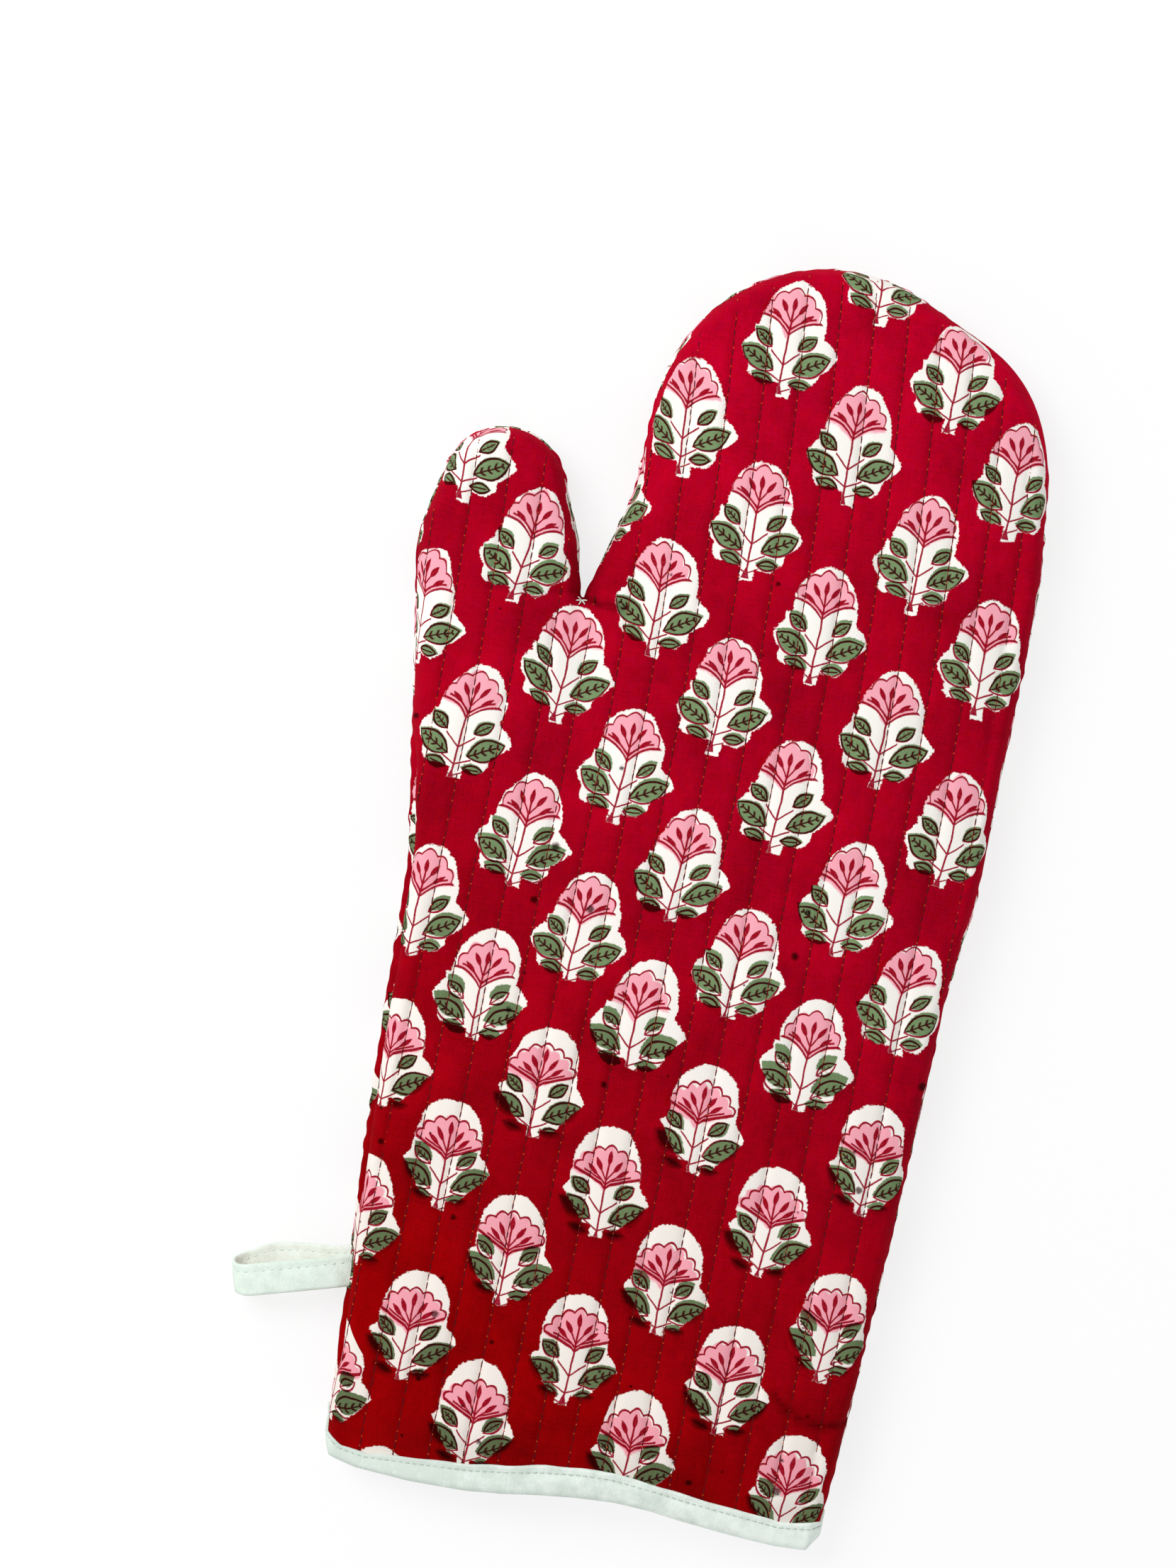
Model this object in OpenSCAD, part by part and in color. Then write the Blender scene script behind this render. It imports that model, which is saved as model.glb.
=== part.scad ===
// Quilted oven mitt, lying on its back panel: fingertips to +Y, thumb to -X, front panel up.
// Each panel is printed cotton, wadding and lining; a binding closes the cuff's edge.

/* [Mitt] */
// Length from the cuff's edge to the fingertips
mitt_len = 340; // [325:1:350]
// Radius of the panels' edge at the cuff
cuff_r = 66.8; // [62:0.2:69]
// Radius across the widest part of the palm
palm_r = 75.5; // [72:0.5:78]
// Radius of the rounded fingertips
fingertip_r = 47.6; // [45:0.2:50]
// Radius of the thumb
thumb_r = 22.2; // [20:0.2:24]
// Height of the front panel above the side seam
front_rise = 13; // [11:0.5:16]
// Height of the side seam above the surface the mitt lies on
seam_z = 10; // [9:0.5:12]

/* [Layers] */
// Thickness of the printed cotton
cotton_t = 0.8; // [0.6:0.1:1]
// Thickness of the wadding
wadding_t = 3.4; // [2.6:0.1:3.8]
// Thickness of the lining
lining_t = 0.6; // [0.5:0.1:0.8]

/* [Cuff binding] */
// Depth of the binding on each side of the cuff's edge
binding_w = 8; // [6:0.5:10]
// Thickness of the folded binding
binding_t = 0.7; // [0.5:0.1:0.9]
// Distance of the binding's stitches from its upper edge
binding_stitch_in = 1.8; // [1.2:0.1:3]

/* [Thread] */
// Distance between two quilting rows
quilt_pitch = 9.3; // [8:0.1:12]
// Distance of the middle quilting row from the mitt's centre line
quilt_x = 1.6; // [-4:0.1:4]
// Width of a row of thread
thread_w = 0.5; // [0.4:0.1:0.6]
// Depth of the thread in the cloth
thread_t = 0.3; // [0.2:0.05:0.4]
// Distance of the side seam's stitches from the panels' edge
seam_in = 2.4; // [1.8:0.2:3]

/* [Hanging loop] */
// Reach of the loop from its hinge line
loop_len = 30.5; // [28:1:40]
// Width of the folded tape
loop_w = 8.6; // [7:0.2:10]
// Thickness of the folded tape
tape_t = 1.1; // [0.9:0.1:1.3]
// Inner radius of the bend at the loop's end
loop_bend_r = 4.2; // [3.8:0.1:4.6]
// Distance of the loop from the cuff's edge
loop_y = 48; // [40:1:60]
// Slant of the loop towards the cuff, in degrees
loop_slant = 18.3; // [10:0.1:25]

/* [Hidden] */

red = "#b0081f";
off_white = "#dceae2";
ivory = "#efe9da";
thread_red = "#c2401e";
lining_white = "#ece7da";

// Depths below the outer surface at which one layer ends and the next begins
wadding_in = cotton_t;
lining_in = wadding_in + wadding_t;
wall_t = lining_in + lining_t;

// The outline is made of round pads, each [x, y, radius], and hulls between neighbours
len_k = mitt_len / 340;
palm_pads = [[0.5, -6 * len_k, cuff_r],
    [-2.3, 36 * len_k, cuff_r + 0.4 * (palm_r - cuff_r)],
    [-4.6, 101 * len_k, cuff_r + 0.8 * (palm_r - cuff_r)],
    [-6.2, 157 * len_k, palm_r]];
knuckle_pad = [5, 181 * len_k, palm_r - 9];
finger_pad = [13.3, 262 * len_k, fingertip_r + 9.4];
tip_pads = [[4.3, mitt_len - fingertip_r, fingertip_r],
    [18.5, mitt_len - fingertip_r - 7.5, fingertip_r + 1]];
thumb_pads = [[-58, 164.5 * len_k, thumb_r + 2.4],
    [-76, 245 * len_k, thumb_r],
    [-78, 261.5 * len_k, thumb_r - 4.8]];

// The thumb is a little flatter than the hand
thumb_rise = front_rise * 0.86;
// The back would bulge this far below the surface, so it rests flat in the middle
back_bulge = 1.6;
// The section is a superellipse of this power, drawn in a few steps that start above the seam
bow = 2.4;
arc_steps = 4;
arc_start = 18;
round_steps = 28;

// The cuff's edge is squeezed by its binding, which keeps the underside level
hem_rise = binding_t;
hem_ramp = 6;
hem_ramp_end = binding_w + hem_ramp;

// The side seam runs straight past the loop, between the left ends of two palm pads
seam_low = [palm_pads[1][0] - palm_pads[1][2], palm_pads[1][1]];
seam_high = [palm_pads[2][0] - palm_pads[2][2], palm_pads[2][1]];
seam_lean = atan2(seam_low[0] - seam_high[0], seam_high[1] - seam_low[1]);
seam_x = seam_low[0] - (loop_y - seam_low[1]) * tan(seam_lean);

// The loop swings about a line along the seam, just outside it
hinge_gap = 0.8;
hinge_x = seam_x - (hinge_gap + tape_t) / cos(seam_lean);

// The loop slopes down to the surface from there
end_r = loop_bend_r + tape_t;
bend_at = loop_len - end_r;
surface_gap = 0.3;
loop_slope = asin((seam_z - end_r - surface_gap) / bend_at);
loop_reach = bend_at * cos(loop_slope) + end_r;

// Centre of the whole mitt's box, which becomes the origin
left_x = hinge_x - loop_reach * cos(loop_slant) - loop_w / 2 * sin(loop_slant);
right_x = knuckle_pad[0] + knuckle_pad[2];
mid_x = (left_x + right_x) / 2;
mid_y = (mitt_len - binding_t) / 2;

rows_half = 9;
big = 400;

// One quarter of a pad's section, from angle a0 to a1, as a superellipse
function bow_arc(r, z, a0, a1) = [for (i = [0:arc_steps])
    let (a = a0 + (a1 - a0) * i / arc_steps)
    [r * pow(abs(cos(a)), 2 / bow), z * sign(sin(a)) * pow(abs(sin(a)), 2 / bow)]];

// A round cushion shape about the seam's level, drawn in by t on every side
module pad(p, rise, t) {
    translate([p[0], p[1], seam_z])
        rotate_extrude($fn = round_steps)
            polygon(concat([[0, -(seam_z + back_bulge - t)]],
                bow_arc(p[2] - t, seam_z + back_bulge - t, arc_start - 90, 0),
                bow_arc(p[2] - t, rise - t, arc_start, 90)));
}

module pads(list, rise, t) {
    hull()
        for (p = list) pad(p, rise, t);
}

// Everything above the level underside of the layer that is t inside the mitt
module above_underside(t) {
    translate([-big / 2, 0, 0])
        rotate([90, 0, 90])
            linear_extrude(big)
                polygon([[-big, t + hem_rise], [binding_w, t + hem_rise], [hem_ramp_end, t],
                    [big, t], [big, big], [-big, big]]);
}

// The whole mitt as a solid, drawn in by t
module filled(t) {
    intersection() {
        union() {
            pads(palm_pads, front_rise, t);
            pads([palm_pads[3], knuckle_pad], front_rise, t);
            pads([knuckle_pad, finger_pad], front_rise, t);
            pads(concat([finger_pad], tip_pads), front_rise, t);
            pads([thumb_pads[0], thumb_pads[1]], thumb_rise, t);
            pads([thumb_pads[1], thumb_pads[2]], thumb_rise, t);
        }
        above_underside(t);
    }
}

module slab(y0, y1, z0, z1) {
    translate([-big / 2, y0, z0])
        cube([big, y1 - y0, z1 - z0]);
}

// The layer between two depths, on one side of the seam
module layer(t0, t1, front) {
    intersection() {
        difference() {
            filled(t0);
            filled(t1);
        }
        slab(0, big, front ? seam_z : -big, front ? big : seam_z);
    }
}

// Grooves for the quilting rows, thread_t deep, on one side of the seam
module quilt_grooves(front) {
    seam_gap = 1.5;
    z0 = front ? seam_z + seam_gap : -big;
    z1 = front ? big : seam_z - seam_gap;
    difference() {
        for (i = [-rows_half:rows_half])
            translate([quilt_x + i * quilt_pitch - thread_w / 2, hem_ramp_end, z0])
                cube([thread_w, big, z1 - z0]);
        filled(thread_t);
    }
}

// The groove of the binding's stitches, all round the cuff
module binding_groove() {
    y = binding_w - binding_stitch_in;
    difference() {
        slab(y - thread_w, y, -big, big);
        filled(thread_t - binding_t);
    }
}

// The side seam's stitches, as one thin band that stops short of the binding
module seam_stitches() {
    half_h = thread_w / 2;
    binding_gap = 1;
    intersection() {
        difference() {
            filled(seam_in);
            filled(seam_in + thread_w);
        }
        slab(binding_w + binding_gap, big, seam_z - half_h, seam_z + half_h);
    }
}

module at_origin() {
    translate([-mid_x, -mid_y, 0])
        children();
}

module outer(front) {
    color(red)
        at_origin()
            difference() {
                layer(0, wadding_in, front);
                quilt_grooves(front);
            }
}

module wadding(front) {
    color(ivory)
        at_origin()
            difference() {
                layer(wadding_in, lining_in, front);
                seam_stitches();
            }
}

module lining(front) {
    color(lining_white)
        at_origin()
            layer(lining_in, wall_t, front);
}

module quilting_thread(front) {
    color(thread_red)
        at_origin()
            intersection() {
                filled(0);
                quilt_grooves(front);
            }
}

module side_seam_thread() {
    color(red)
        at_origin()
            seam_stitches();
}

// One strip folded over the cuff's edge, all the way round the mouth
module cuff_binding() {
    color(off_white)
        at_origin()
            difference() {
                intersection() {
                    difference() {
                        filled(-binding_t);
                        filled(wall_t + binding_t);
                    }
                    slab(-binding_t, binding_w, -big, big);
                }
                intersection() {
                    difference() {
                        filled(0);
                        filled(wall_t);
                    }
                    slab(0, big, -big, big);
                }
                binding_groove();
            }
}

module binding_thread() {
    color("white")
        at_origin()
            intersection() {
                filled(-binding_t);
                binding_groove();
            }
}

// Side view of the loop: a drop shape that narrows from its bend to its root.
// r is the bend's radius and root_h half the height at the root, which runs on past the hinge.
module drop(r, root_h) {
    lean = asin((r - root_h) / bend_at);
    steps = 20;
    root_back = 2;
    polygon(concat([[-root_back, -root_h], [0, -root_h]],
        [for (i = [0:steps]) let (a = -90 - lean + (180 + 2 * lean) * i / steps)
            [bend_at + r * cos(a), r * sin(a)]],
        [[0, root_h], [-root_back, root_h]]));
}

// The frame of the hinge: its Y axis is the line that the loop swings about
module at_hinge() {
    at_origin()
        translate([hinge_x, loop_y, seam_z])
            rotate([0, 0, seam_lean])
                children();
}

// Gives a side view its width and slants it away from the hinge, from start outwards
module loop_strip(width, start) {
    intersection() {
        rotate([0, 0, loop_slant - seam_lean])
            rotate([0, -loop_slope, 0])
                rotate([90, 0, 180])
                    linear_extrude(width, center = true)
                        children();
        translate([-big - start, -big / 2, -big / 2])
            cube(big);
    }
}

module hanging_loop() {
    root_len = 3;
    fold_h = 0.05;
    color(off_white)
        at_hinge() {
            loop_strip(loop_w, 0)
                difference() {
                    drop(end_r, tape_t);
                    intersection() {
                        drop(loop_bend_r, fold_h);
                        translate([root_len, -big / 2])
                            square(big);
                    }
                }
            rotate([90, 0, 0])
                cylinder(r = tape_t, h = loop_w / cos(loop_slant - seam_lean), center = true, $fn = 32);
        }
}

// Two rows of stitches, close to the tape's edges
module loop_thread() {
    edge_in = 1.2;
    stand = 0.2;
    start = 2;
    color("white")
        at_hinge()
            intersection() {
                loop_strip(loop_w, start)
                    difference() {
                        drop(end_r + stand, tape_t + stand);
                        drop(end_r, tape_t);
                    }
                rotate([0, 0, loop_slant - seam_lean])
                    for (side = [-1, 1])
                        translate([-big / 2, side * (loop_w / 2 - edge_in), 0])
                            cube([big, thread_w, big], center = true);
            }
}

outer(true);  // outer_front
outer(false);  // outer_back
wadding(true);  // wadding_front
wadding(false);  // wadding_back
lining(true);  // lining_front
lining(false);  // lining_back
quilting_thread(true);  // quilting_thread_front
quilting_thread(false);  // quilting_thread_back
side_seam_thread();
cuff_binding();
binding_thread();
hanging_loop();
loop_thread();
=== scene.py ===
import ast
import math

import bpy
import numpy as np
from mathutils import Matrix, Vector
from mathutils.bvhtree import BVHTree
from mathutils.geometry import delaunay_2d_cdt


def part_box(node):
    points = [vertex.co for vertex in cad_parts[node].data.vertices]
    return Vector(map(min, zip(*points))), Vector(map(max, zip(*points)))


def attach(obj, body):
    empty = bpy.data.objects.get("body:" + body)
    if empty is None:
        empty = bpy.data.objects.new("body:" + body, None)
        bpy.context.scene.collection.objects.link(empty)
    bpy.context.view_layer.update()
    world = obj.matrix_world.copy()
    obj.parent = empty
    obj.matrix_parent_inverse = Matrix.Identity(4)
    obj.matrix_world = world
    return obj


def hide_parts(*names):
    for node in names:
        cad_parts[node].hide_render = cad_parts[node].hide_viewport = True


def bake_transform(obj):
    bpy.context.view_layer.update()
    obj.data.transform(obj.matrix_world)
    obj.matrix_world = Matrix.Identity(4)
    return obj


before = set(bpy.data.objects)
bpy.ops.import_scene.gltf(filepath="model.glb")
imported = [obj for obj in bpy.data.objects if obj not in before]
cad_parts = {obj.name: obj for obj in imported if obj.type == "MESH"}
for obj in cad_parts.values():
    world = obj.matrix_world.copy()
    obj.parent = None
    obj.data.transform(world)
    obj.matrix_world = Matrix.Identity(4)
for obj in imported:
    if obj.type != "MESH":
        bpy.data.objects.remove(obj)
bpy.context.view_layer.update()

# Shapes are worked out in millimetres from the middle of the cuff's edge: x to the right, y to the
# fingertips, z up. toFrame brings them into the shared frame, in metres.
mitt = {
    "length": 340.0,
    "rightEdge": 71.5,  # widest point on the side away from the thumb
    "seamHeight": 10.0,
    "rise": 13.0,  # front panel's top above the seam
    "thumbRise": 11.2,
    "edgeRadius": 4.0,  # how the front panel turns up from the seam
    "edgeHeight": 5.0,
    "band": 6.5,  # width of the rolled edge all round
    "wall": 4.8,  # cotton, wadding and lining together
    "bow": 2.4,  # how square the swell of each panel is
    "widest": 8.3,  # height at which the back panel's rolled edge reaches furthest out
    "underside": 0.9,  # height of the underside at the inner end of that edge
    "cuffPress": 0.7,  # how much flatter each side lies at the cuff
}
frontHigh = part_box("outer_front")[1]
middle = np.array([mitt["rightEdge"] - frontHigh.x * 1000, mitt["length"] - frontHigh.y * 1000, 0])


def toFrame(points):
    return (np.asarray(points, float) - middle) / 1000


def smooth(value, low, high):  # 0 before low, 1 after high
    t = np.clip((value - low) / (high - low), 0, 1)
    return t * t * (3 - 2 * t)


def larger(a, b, soft):  # the larger of two values, with a soft join
    h = np.clip(0.5 + 0.5 * (a - b) / soft, 0, 1)
    return b + (a - b) * h + soft * h * (1 - h)


def ripples(x, y, size, seed):  # soft uneven waves about size across, from about -1 to 1
    rng = np.random.default_rng(seed)
    angles = rng.uniform(0, math.pi, 8)
    phases = rng.uniform(0, 6.28, 8)
    stretches = rng.uniform(0.6, 1.6, 8)
    total = 0
    for angle, phase, stretch in zip(angles, phases, stretches):
        wave = 2 * math.pi / (size * stretch)
        total = total + np.sin(wave * (x * math.cos(angle) + y * math.sin(angle)) + phase)
    return total / 4


def makePiece(name, points, faces, uv=None, attributes=()):
    mesh = bpy.data.meshes.new(name)
    mesh.from_pydata(toFrame(points).tolist(), [], [list(map(int, face)) for face in faces])
    for polygon in mesh.polygons:
        polygon.use_smooth = True
    for key, values in dict(attributes).items():
        kind = "FLOAT" if np.ndim(values) == 1 else "FLOAT_VECTOR"
        layer = mesh.attributes.new(key, kind, "POINT")
        field = "value" if kind == "FLOAT" else "vector"
        layer.data.foreach_set(field, np.asarray(values, np.float32).ravel())
    if uv is not None:
        layer = mesh.uv_layers.new(name="OFBake")
        corners = np.zeros(len(mesh.loops), np.int32)
        mesh.loops.foreach_get("vertex_index", corners)
        layer.data.foreach_set("uv", np.asarray(uv, np.float32)[corners].ravel())
    piece = bpy.data.objects.new(name, mesh)
    bpy.context.scene.collection.objects.link(piece)
    return piece


def cover(piece, material, slot, *nodes, body="mitt"):
    piece.data.materials.append(material)
    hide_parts(*nodes)
    if body:
        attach(piece, body)


def gridFaces(rows, columns, joined=(False, False), flipped=False, start=0):
    # Faces of a grid of points, row after row. The last row or column can be joined to the first
    faces = []
    for j in range(rows - (not joined[0])):
        here, there = start + j * columns, start + (j + 1) % rows * columns
        for i in range(columns - (not joined[1])):
            after = (i + 1) % columns
            face = (here + i, there + i, there + after, here + after)
            faces.append(face[:1] + face[:0:-1] if flipped else face)
    return faces


def resampled(wanted, run, values):  # each column of values at the wanted distances along its run
    return np.column_stack([np.interp(wanted, run, column) for column in np.asarray(values).T])


# Outline of the panels: round pads, each x, y and radius, and the hulls between neighbours
outline = {
    "pads": [(-1.0, -6, 67.3), (-2.3, 36, 70.28), (-4.6, 101, 73.76), (-6.2, 157, 75.5), (5, 181, 66.5),
             (13.3, 262, 57), (4.3, 292.4, 47.6), (18.5, 284.9, 48.6),
             (-58, 164.5, 24.6), (-76, 245, 22.2), (-78, 261.5, 17.4)],
    "hand": [(0, 1), (1, 2), (2, 3), (3, 4), (4, 5), (5, 6), (5, 7), (6, 7)],
    "thumb": [(8, 9), (9, 10)],
    "crotch": 1.6,  # how softly thumb and hand meet
    "step": 0.5,  # between the points of fineEdge
}


def hull(x, y, pair):  # distance outside the hull of two pads, and the same against its radius there
    (ax, ay, ra), (bx, by, rb) = (outline["pads"][i] for i in pair)
    long = math.hypot(bx - ax, by - ay)
    ux, uy = (bx - ax) / long, (by - ay) / long
    along, across = (x - ax) * ux + (y - ay) * uy, np.abs((y - ay) * ux - (x - ax) * uy)
    lean = (ra - rb) / long
    upright = math.sqrt(1 - lean * lean)
    end = along * upright - across * lean
    side = along * lean + across * upright - ra
    past = np.hypot(along - long, across) - rb
    gap = np.where(end < 0, np.hypot(along, across) - ra, np.where(end > long * upright, past, side))
    radius = ra + (rb - ra) * np.clip(end / (long * upright), 0, 1)
    return gap, 1 + gap / radius


def part(x, y, name):  # the same for the whole hand or thumb, with soft joins in the second value
    gaps, shares = zip(*(hull(x, y, pair) for pair in outline[name]))
    share = shares[0]
    for other in shares[1:]:
        share = -larger(-share, -other, 0.1)
    return np.min(gaps, axis=0), share


def outside(x, y):  # distance outside the outline
    return -larger(-part(x, y, "hand")[0], -part(x, y, "thumb")[0], outline["crotch"])


def walkOutline(eps=0.05):  # from the cuff's left corner round the fingertips to its right corner
    at, path, ways = np.array([-70.0, 0.0]), [], []
    while len(path) < 100 or at[1] > 0:
        for _ in range(2):  # twice, to land on the outline
            value = outside(at[0] + np.array([0, eps, 0]), at[1] + np.array([0, 0, eps]))
            way = (value[1:] - value[0]) / eps
            way = way / np.hypot(*way)
            at = at - way * value[0]
        path.append(at)
        ways.append(way)
        at = at + outline["step"] * np.array([way[1], -way[0]])
    return np.array(path), np.array(ways)


fineEdge, fineWays = walkOutline()
fineEdge[0, 1] = fineEdge[-1, 1] = 0
turn = np.cross(fineWays[:-1], fineWays[1:]) / outline["step"]  # curvature, above 0 where the edge is hollow
turn = np.convolve(np.append(turn, 0), np.ones(5) / 5, "same")
print("outline", len(fineEdge), "points, hollow up to", turn.max().round(3), "and round up to",
      turn.min().round(3))


def edgePoints(spacing, depth):  # points along the edge that are still spacing apart once moved in by depth
    density = (1 + np.maximum(turn, 0) * depth) / spacing * outline["step"]
    run = np.concatenate([[0], np.cumsum(density[1:])])
    wanted = np.linspace(0, run[-1], int(round(run[-1])) + 1)
    spots, inward = resampled(wanted, run, fineEdge), -resampled(wanted, run, fineWays)
    level = np.column_stack([np.sign(inward[:, 0]), 0 * wanted])  # straight across at the cuff
    inward = level + (inward - level) * smooth(spots[:, 1], 0, 20)[:, None]
    return spots, inward / np.hypot(*inward.T)[:, None]


def inside(x, y):  # distance inside the edge, and which point of fineEdge is nearest
    x, y = np.asarray(x, float), np.asarray(y, float)
    gap, near = np.empty(x.size), np.empty(x.size, int)
    for i in range(0, x.size, 2000):
        square = (x[i:i + 2000, None] - fineEdge[:, 0]) ** 2 + (y[i:i + 2000, None] - fineEdge[:, 1]) ** 2
        near[i:i + 2000] = square.argmin(1)
        gap[i:i + 2000] = np.sqrt(square.min(1))
    return gap, near


quilting = {
    "pitch": 9.3,  # between rows
    "middle": 5.4,  # the middle row's x at the cuff
    "lean": -0.0235,  # how far the rows move to the left for each millimetre up
    "bendFrom": 190,  # where they begin to bend further to the left
    "bend": 0.00035,
    "puff": 1.0,  # how far the cloth swells between two rows
    "width": 1.05,  # how soon it has risen beside a row
    "backPuff": 0.8,
    "stitch": 2.5,  # length of a stitch
    "stitchPitch": 2.6,
    "vary": (0.08, 0.06),  # how much the stitches vary along their row and across it
    "clear": 2.2,  # how far inside the edge they stay
    "above": {"front": 7, "back": 2},  # how far above the cuff's edge they begin
    "proud": 0.02,  # how far they stand out of the cloth
    "thread": 0.36,
}


def rowX(k, y):
    bend = quilting["bend"] * np.maximum(0, y - quilting["bendFrom"]) ** 2
    return quilting["pitch"] * k + quilting["middle"] + quilting["lean"] * y - bend


def fromRow(x, y):  # distance to the nearest row, above 0 to the right of it
    return (x - rowX(0, y) + quilting["pitch"] / 2) % quilting["pitch"] - quilting["pitch"] / 2


def linear(hexColour):  # an sRGB hex colour as linear red, green, blue and 1
    parts = [int(hexColour[i:i + 2], 16) / 255 for i in (1, 3, 5)]
    return [p / 12.92 if p <= 0.04045 else ((p + 0.055) / 1.055) ** 2.4 for p in parts] + [1.0]


def add(tree, kind, *inputs, **settings):
    # Adds a node and gives its first output. The inputs follow the node's own order, and a setting
    # with a capital letter is an input's name. Each is a value or another node's output.
    node = tree.nodes.new("ShaderNode" + kind)
    for name, value in settings.items():
        if name[0].islower():
            setattr(node, name, value)
    free = [socket for socket in node.inputs if socket.enabled]
    pairs = list(zip(free, inputs)) + [(node.inputs[n], v) for n, v in settings.items() if not n[0].islower()]
    for socket, value in pairs:
        if isinstance(value, bpy.types.NodeSocket):
            tree.links.new(value, socket)
        elif value is not None:
            socket.default_value = value
    return next((socket for socket in node.outputs if socket.enabled), node)


steps = {  # Python's operators and functions as operations of the Math node
    "Add": "ADD", "Sub": "SUBTRACT", "Mult": "MULTIPLY", "Div": "DIVIDE", "Pow": "POWER", "USub": "MULTIPLY",
    "Gt": "GREATER_THAN", "Lt": "LESS_THAN", "abs": "ABSOLUTE", "min": "MINIMUM", "max": "MAXIMUM",
    "sqrt": "SQRT", "sin": "SINE", "cos": "COSINE", "atan2": "ARCTAN2", "fract": "FRACT", "round": "ROUND",
    "clamp": "ADD",
}


def formulas(tree, text, **values):
    # Builds lines such as "gap = abs(x) - 2" as Math nodes, one for each step, and gives all the values
    def build(part):
        if isinstance(part, ast.Constant):
            return float(part.value)
        if isinstance(part, ast.Name):
            return values[part.id]
        if isinstance(part, ast.UnaryOp):
            name, given = "USub", [build(part.operand), -1.0]
        elif isinstance(part, ast.BinOp):
            name, given = type(part.op).__name__, [build(part.left), build(part.right)]
        elif isinstance(part, ast.Compare):
            name, given = type(part.ops[0]).__name__, [build(part.left), build(part.comparators[0])]
        else:
            name, given = part.func.id, [build(p) for p in part.args]
        if name == "USub" and isinstance(given[0], float):
            return -given[0]
        while len(given) > 2:
            given = [add(tree, "Math", *given[:2], operation=steps[name])] + given[2:]
        if name == "clamp":
            given.append(0.0)
        return add(tree, "Math", *given, operation=steps[name], use_clamp=name == "clamp")

    for line in ast.parse(text).body:
        values[line.targets[0].id] = build(line.value)
    return values


def xyz(tree, vector):
    return add(tree, "SeparateXYZ", vector).node.outputs


def newMaterial(name, rough, shine):
    material = bpy.data.materials.new(name)
    material.use_nodes = True
    shader = material.node_tree.nodes["Principled BSDF"]
    shader.inputs["Roughness"].default_value = rough
    shader.inputs["Specular IOR Level"].default_value = shine
    return material, material.node_tree, shader


def weaveBump(tree, x, y, thread, depth):
    # Plain weave: threads over and under each other, with slubs where a thread is thicker. It is drawn
    # coarser than the cloths' own, so that it shows
    made = formulas(tree, """
a = x * turns
b = y * turns
over = cos(a) * 0.5 + 0.5
under = cos(b) * 0.5 + 0.5
side = sin(a * 0.5) * sin(b * 0.5) > 0
raised = over + (under - over) * side
""", x=x, y=y, turns=2 * math.pi / thread)["raised"]
    slub = add(tree, "TexNoise", add(tree, "CombineXYZ", x, y, 0.0), Scale=1.3, Detail=2.0)
    height = formulas(tree, "all = raised * 0.6 + slub", raised=made, slub=slub)["all"]
    return add(tree, "Bump", Strength=depth, Distance=0.00012, Height=height)


def plainCotton(name, light, dark, thread, depth=0.5, patch=0.22, lean=0.0):
    # Cotton woven and dyed one pale colour: the eye sees a plain weave, uneven patches a little lighter and
    # darker than the rest, and no shine. Where lean is given it paints light: the cloth grows lighter towards
    # the right
    material, tree, shader = newMaterial(name, 0.9, 0.05)
    place = add(tree, "TexCoord").node.outputs["Object"]
    place = add(tree, "VectorMath", place, 1000.0, operation="SCALE")
    split = xyz(tree, place)
    patches = add(tree, "TexNoise", place, Scale=patch, Detail=4.0, Roughness=0.65)
    stretched = add(tree, "VectorMath", place, (3.2, 0.5, 1.0), operation="MULTIPLY")
    threads = add(tree, "TexNoise", stretched, Scale=1.0, Detail=2.0)
    tone = formulas(tree, "all = clamp((patches - 0.34) * 2.6 + (threads - 0.5) * 0.9 + lean * (x - 21))",
                    patches=patches, threads=threads, x=split["X"], lean=lean)["all"]
    tree.links.new(add(tree, "MixRGB", tone, linear(dark), linear(light)), shader.inputs["Base Color"])
    tree.links.new(weaveBump(tree, split["X"], split["Y"], thread, depth), shader.inputs["Normal"])
    return material


def sewingThread(name, light, dark):
    # Spun cotton sewing thread: two plies twisted, so the colour changes in short bands along a stitch
    material, tree, shader = newMaterial(name, 0.75, 0.1)
    place = add(tree, "TexCoord").node.outputs["Object"]
    twist = add(tree, "TexWave", place, Scale=900.0, Distortion=2.0, bands_direction="DIAGONAL")
    twist = twist.node.outputs["Fac"]
    tree.links.new(add(tree, "MixRGB", twist, linear(dark), linear(light)), shader.inputs["Base Color"])
    return material


def cottonWadding(name, light, dark):
    # Needled cotton wadding: loose fibres in every direction, uneven and quite matt
    material, tree, shader = newMaterial(name, 1.0, 0)
    place = add(tree, "TexCoord").node.outputs["Object"]
    fibres = add(tree, "TexNoise", place, Scale=700.0, Detail=5.0, Roughness=0.75, Distortion=1.5)
    tree.links.new(add(tree, "MixRGB", fibres, linear(dark), linear(light)), shader.inputs["Base Color"])
    tree.links.new(add(tree, "Bump", Strength=0.8, Distance=0.0004, Height=fibres), shader.inputs["Normal"])
    return material


# The buti that the cloth is printed with: a fan-shaped flower on a stem with three pairs of leaves,
# in millimetres from the middle of its white ground, in a half-drop repeat.
buti = {
    "across": 44.0,  # between two motifs of one row
    "up": 48.0,  # between two rows of the same columns
    "late": 3,  # the row from which the blocks meet better
    "leaves": [  # middle, half length, half width, direction in degrees
        (-6.3, 2.5, 3.2, 1.7, 141), (5.6, 2.6, 3.1, 1.6, 42), (-6.9, -3.4, 5.2, 2.75, 151),
        (7.6, -3.0, 5.4, 2.9, 30), (-4.8, -8.8, 3.2, 1.55, 163), (5.2, -8.9, 2.9, 1.4, 5)],
}
# the second red is painted light for the fingertips; the darker red, cloth and green are painted shade for
# the cuff and the thumb's side
inks = {
    "cloth": "#faf6f0", "clothPaintedShade": "#f1e9e1", "red": "#a50016", "redPaintedLight": "#b4001c", "redPaintedShade": "#8c0002",
    "pink": "#fdb1c5", "green": "#7a966d", "greenPaintedShade": "#677b59", "line": "#a0102f", "overlap": "#24100c",
    "speck": "#4a2820",
}


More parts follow.
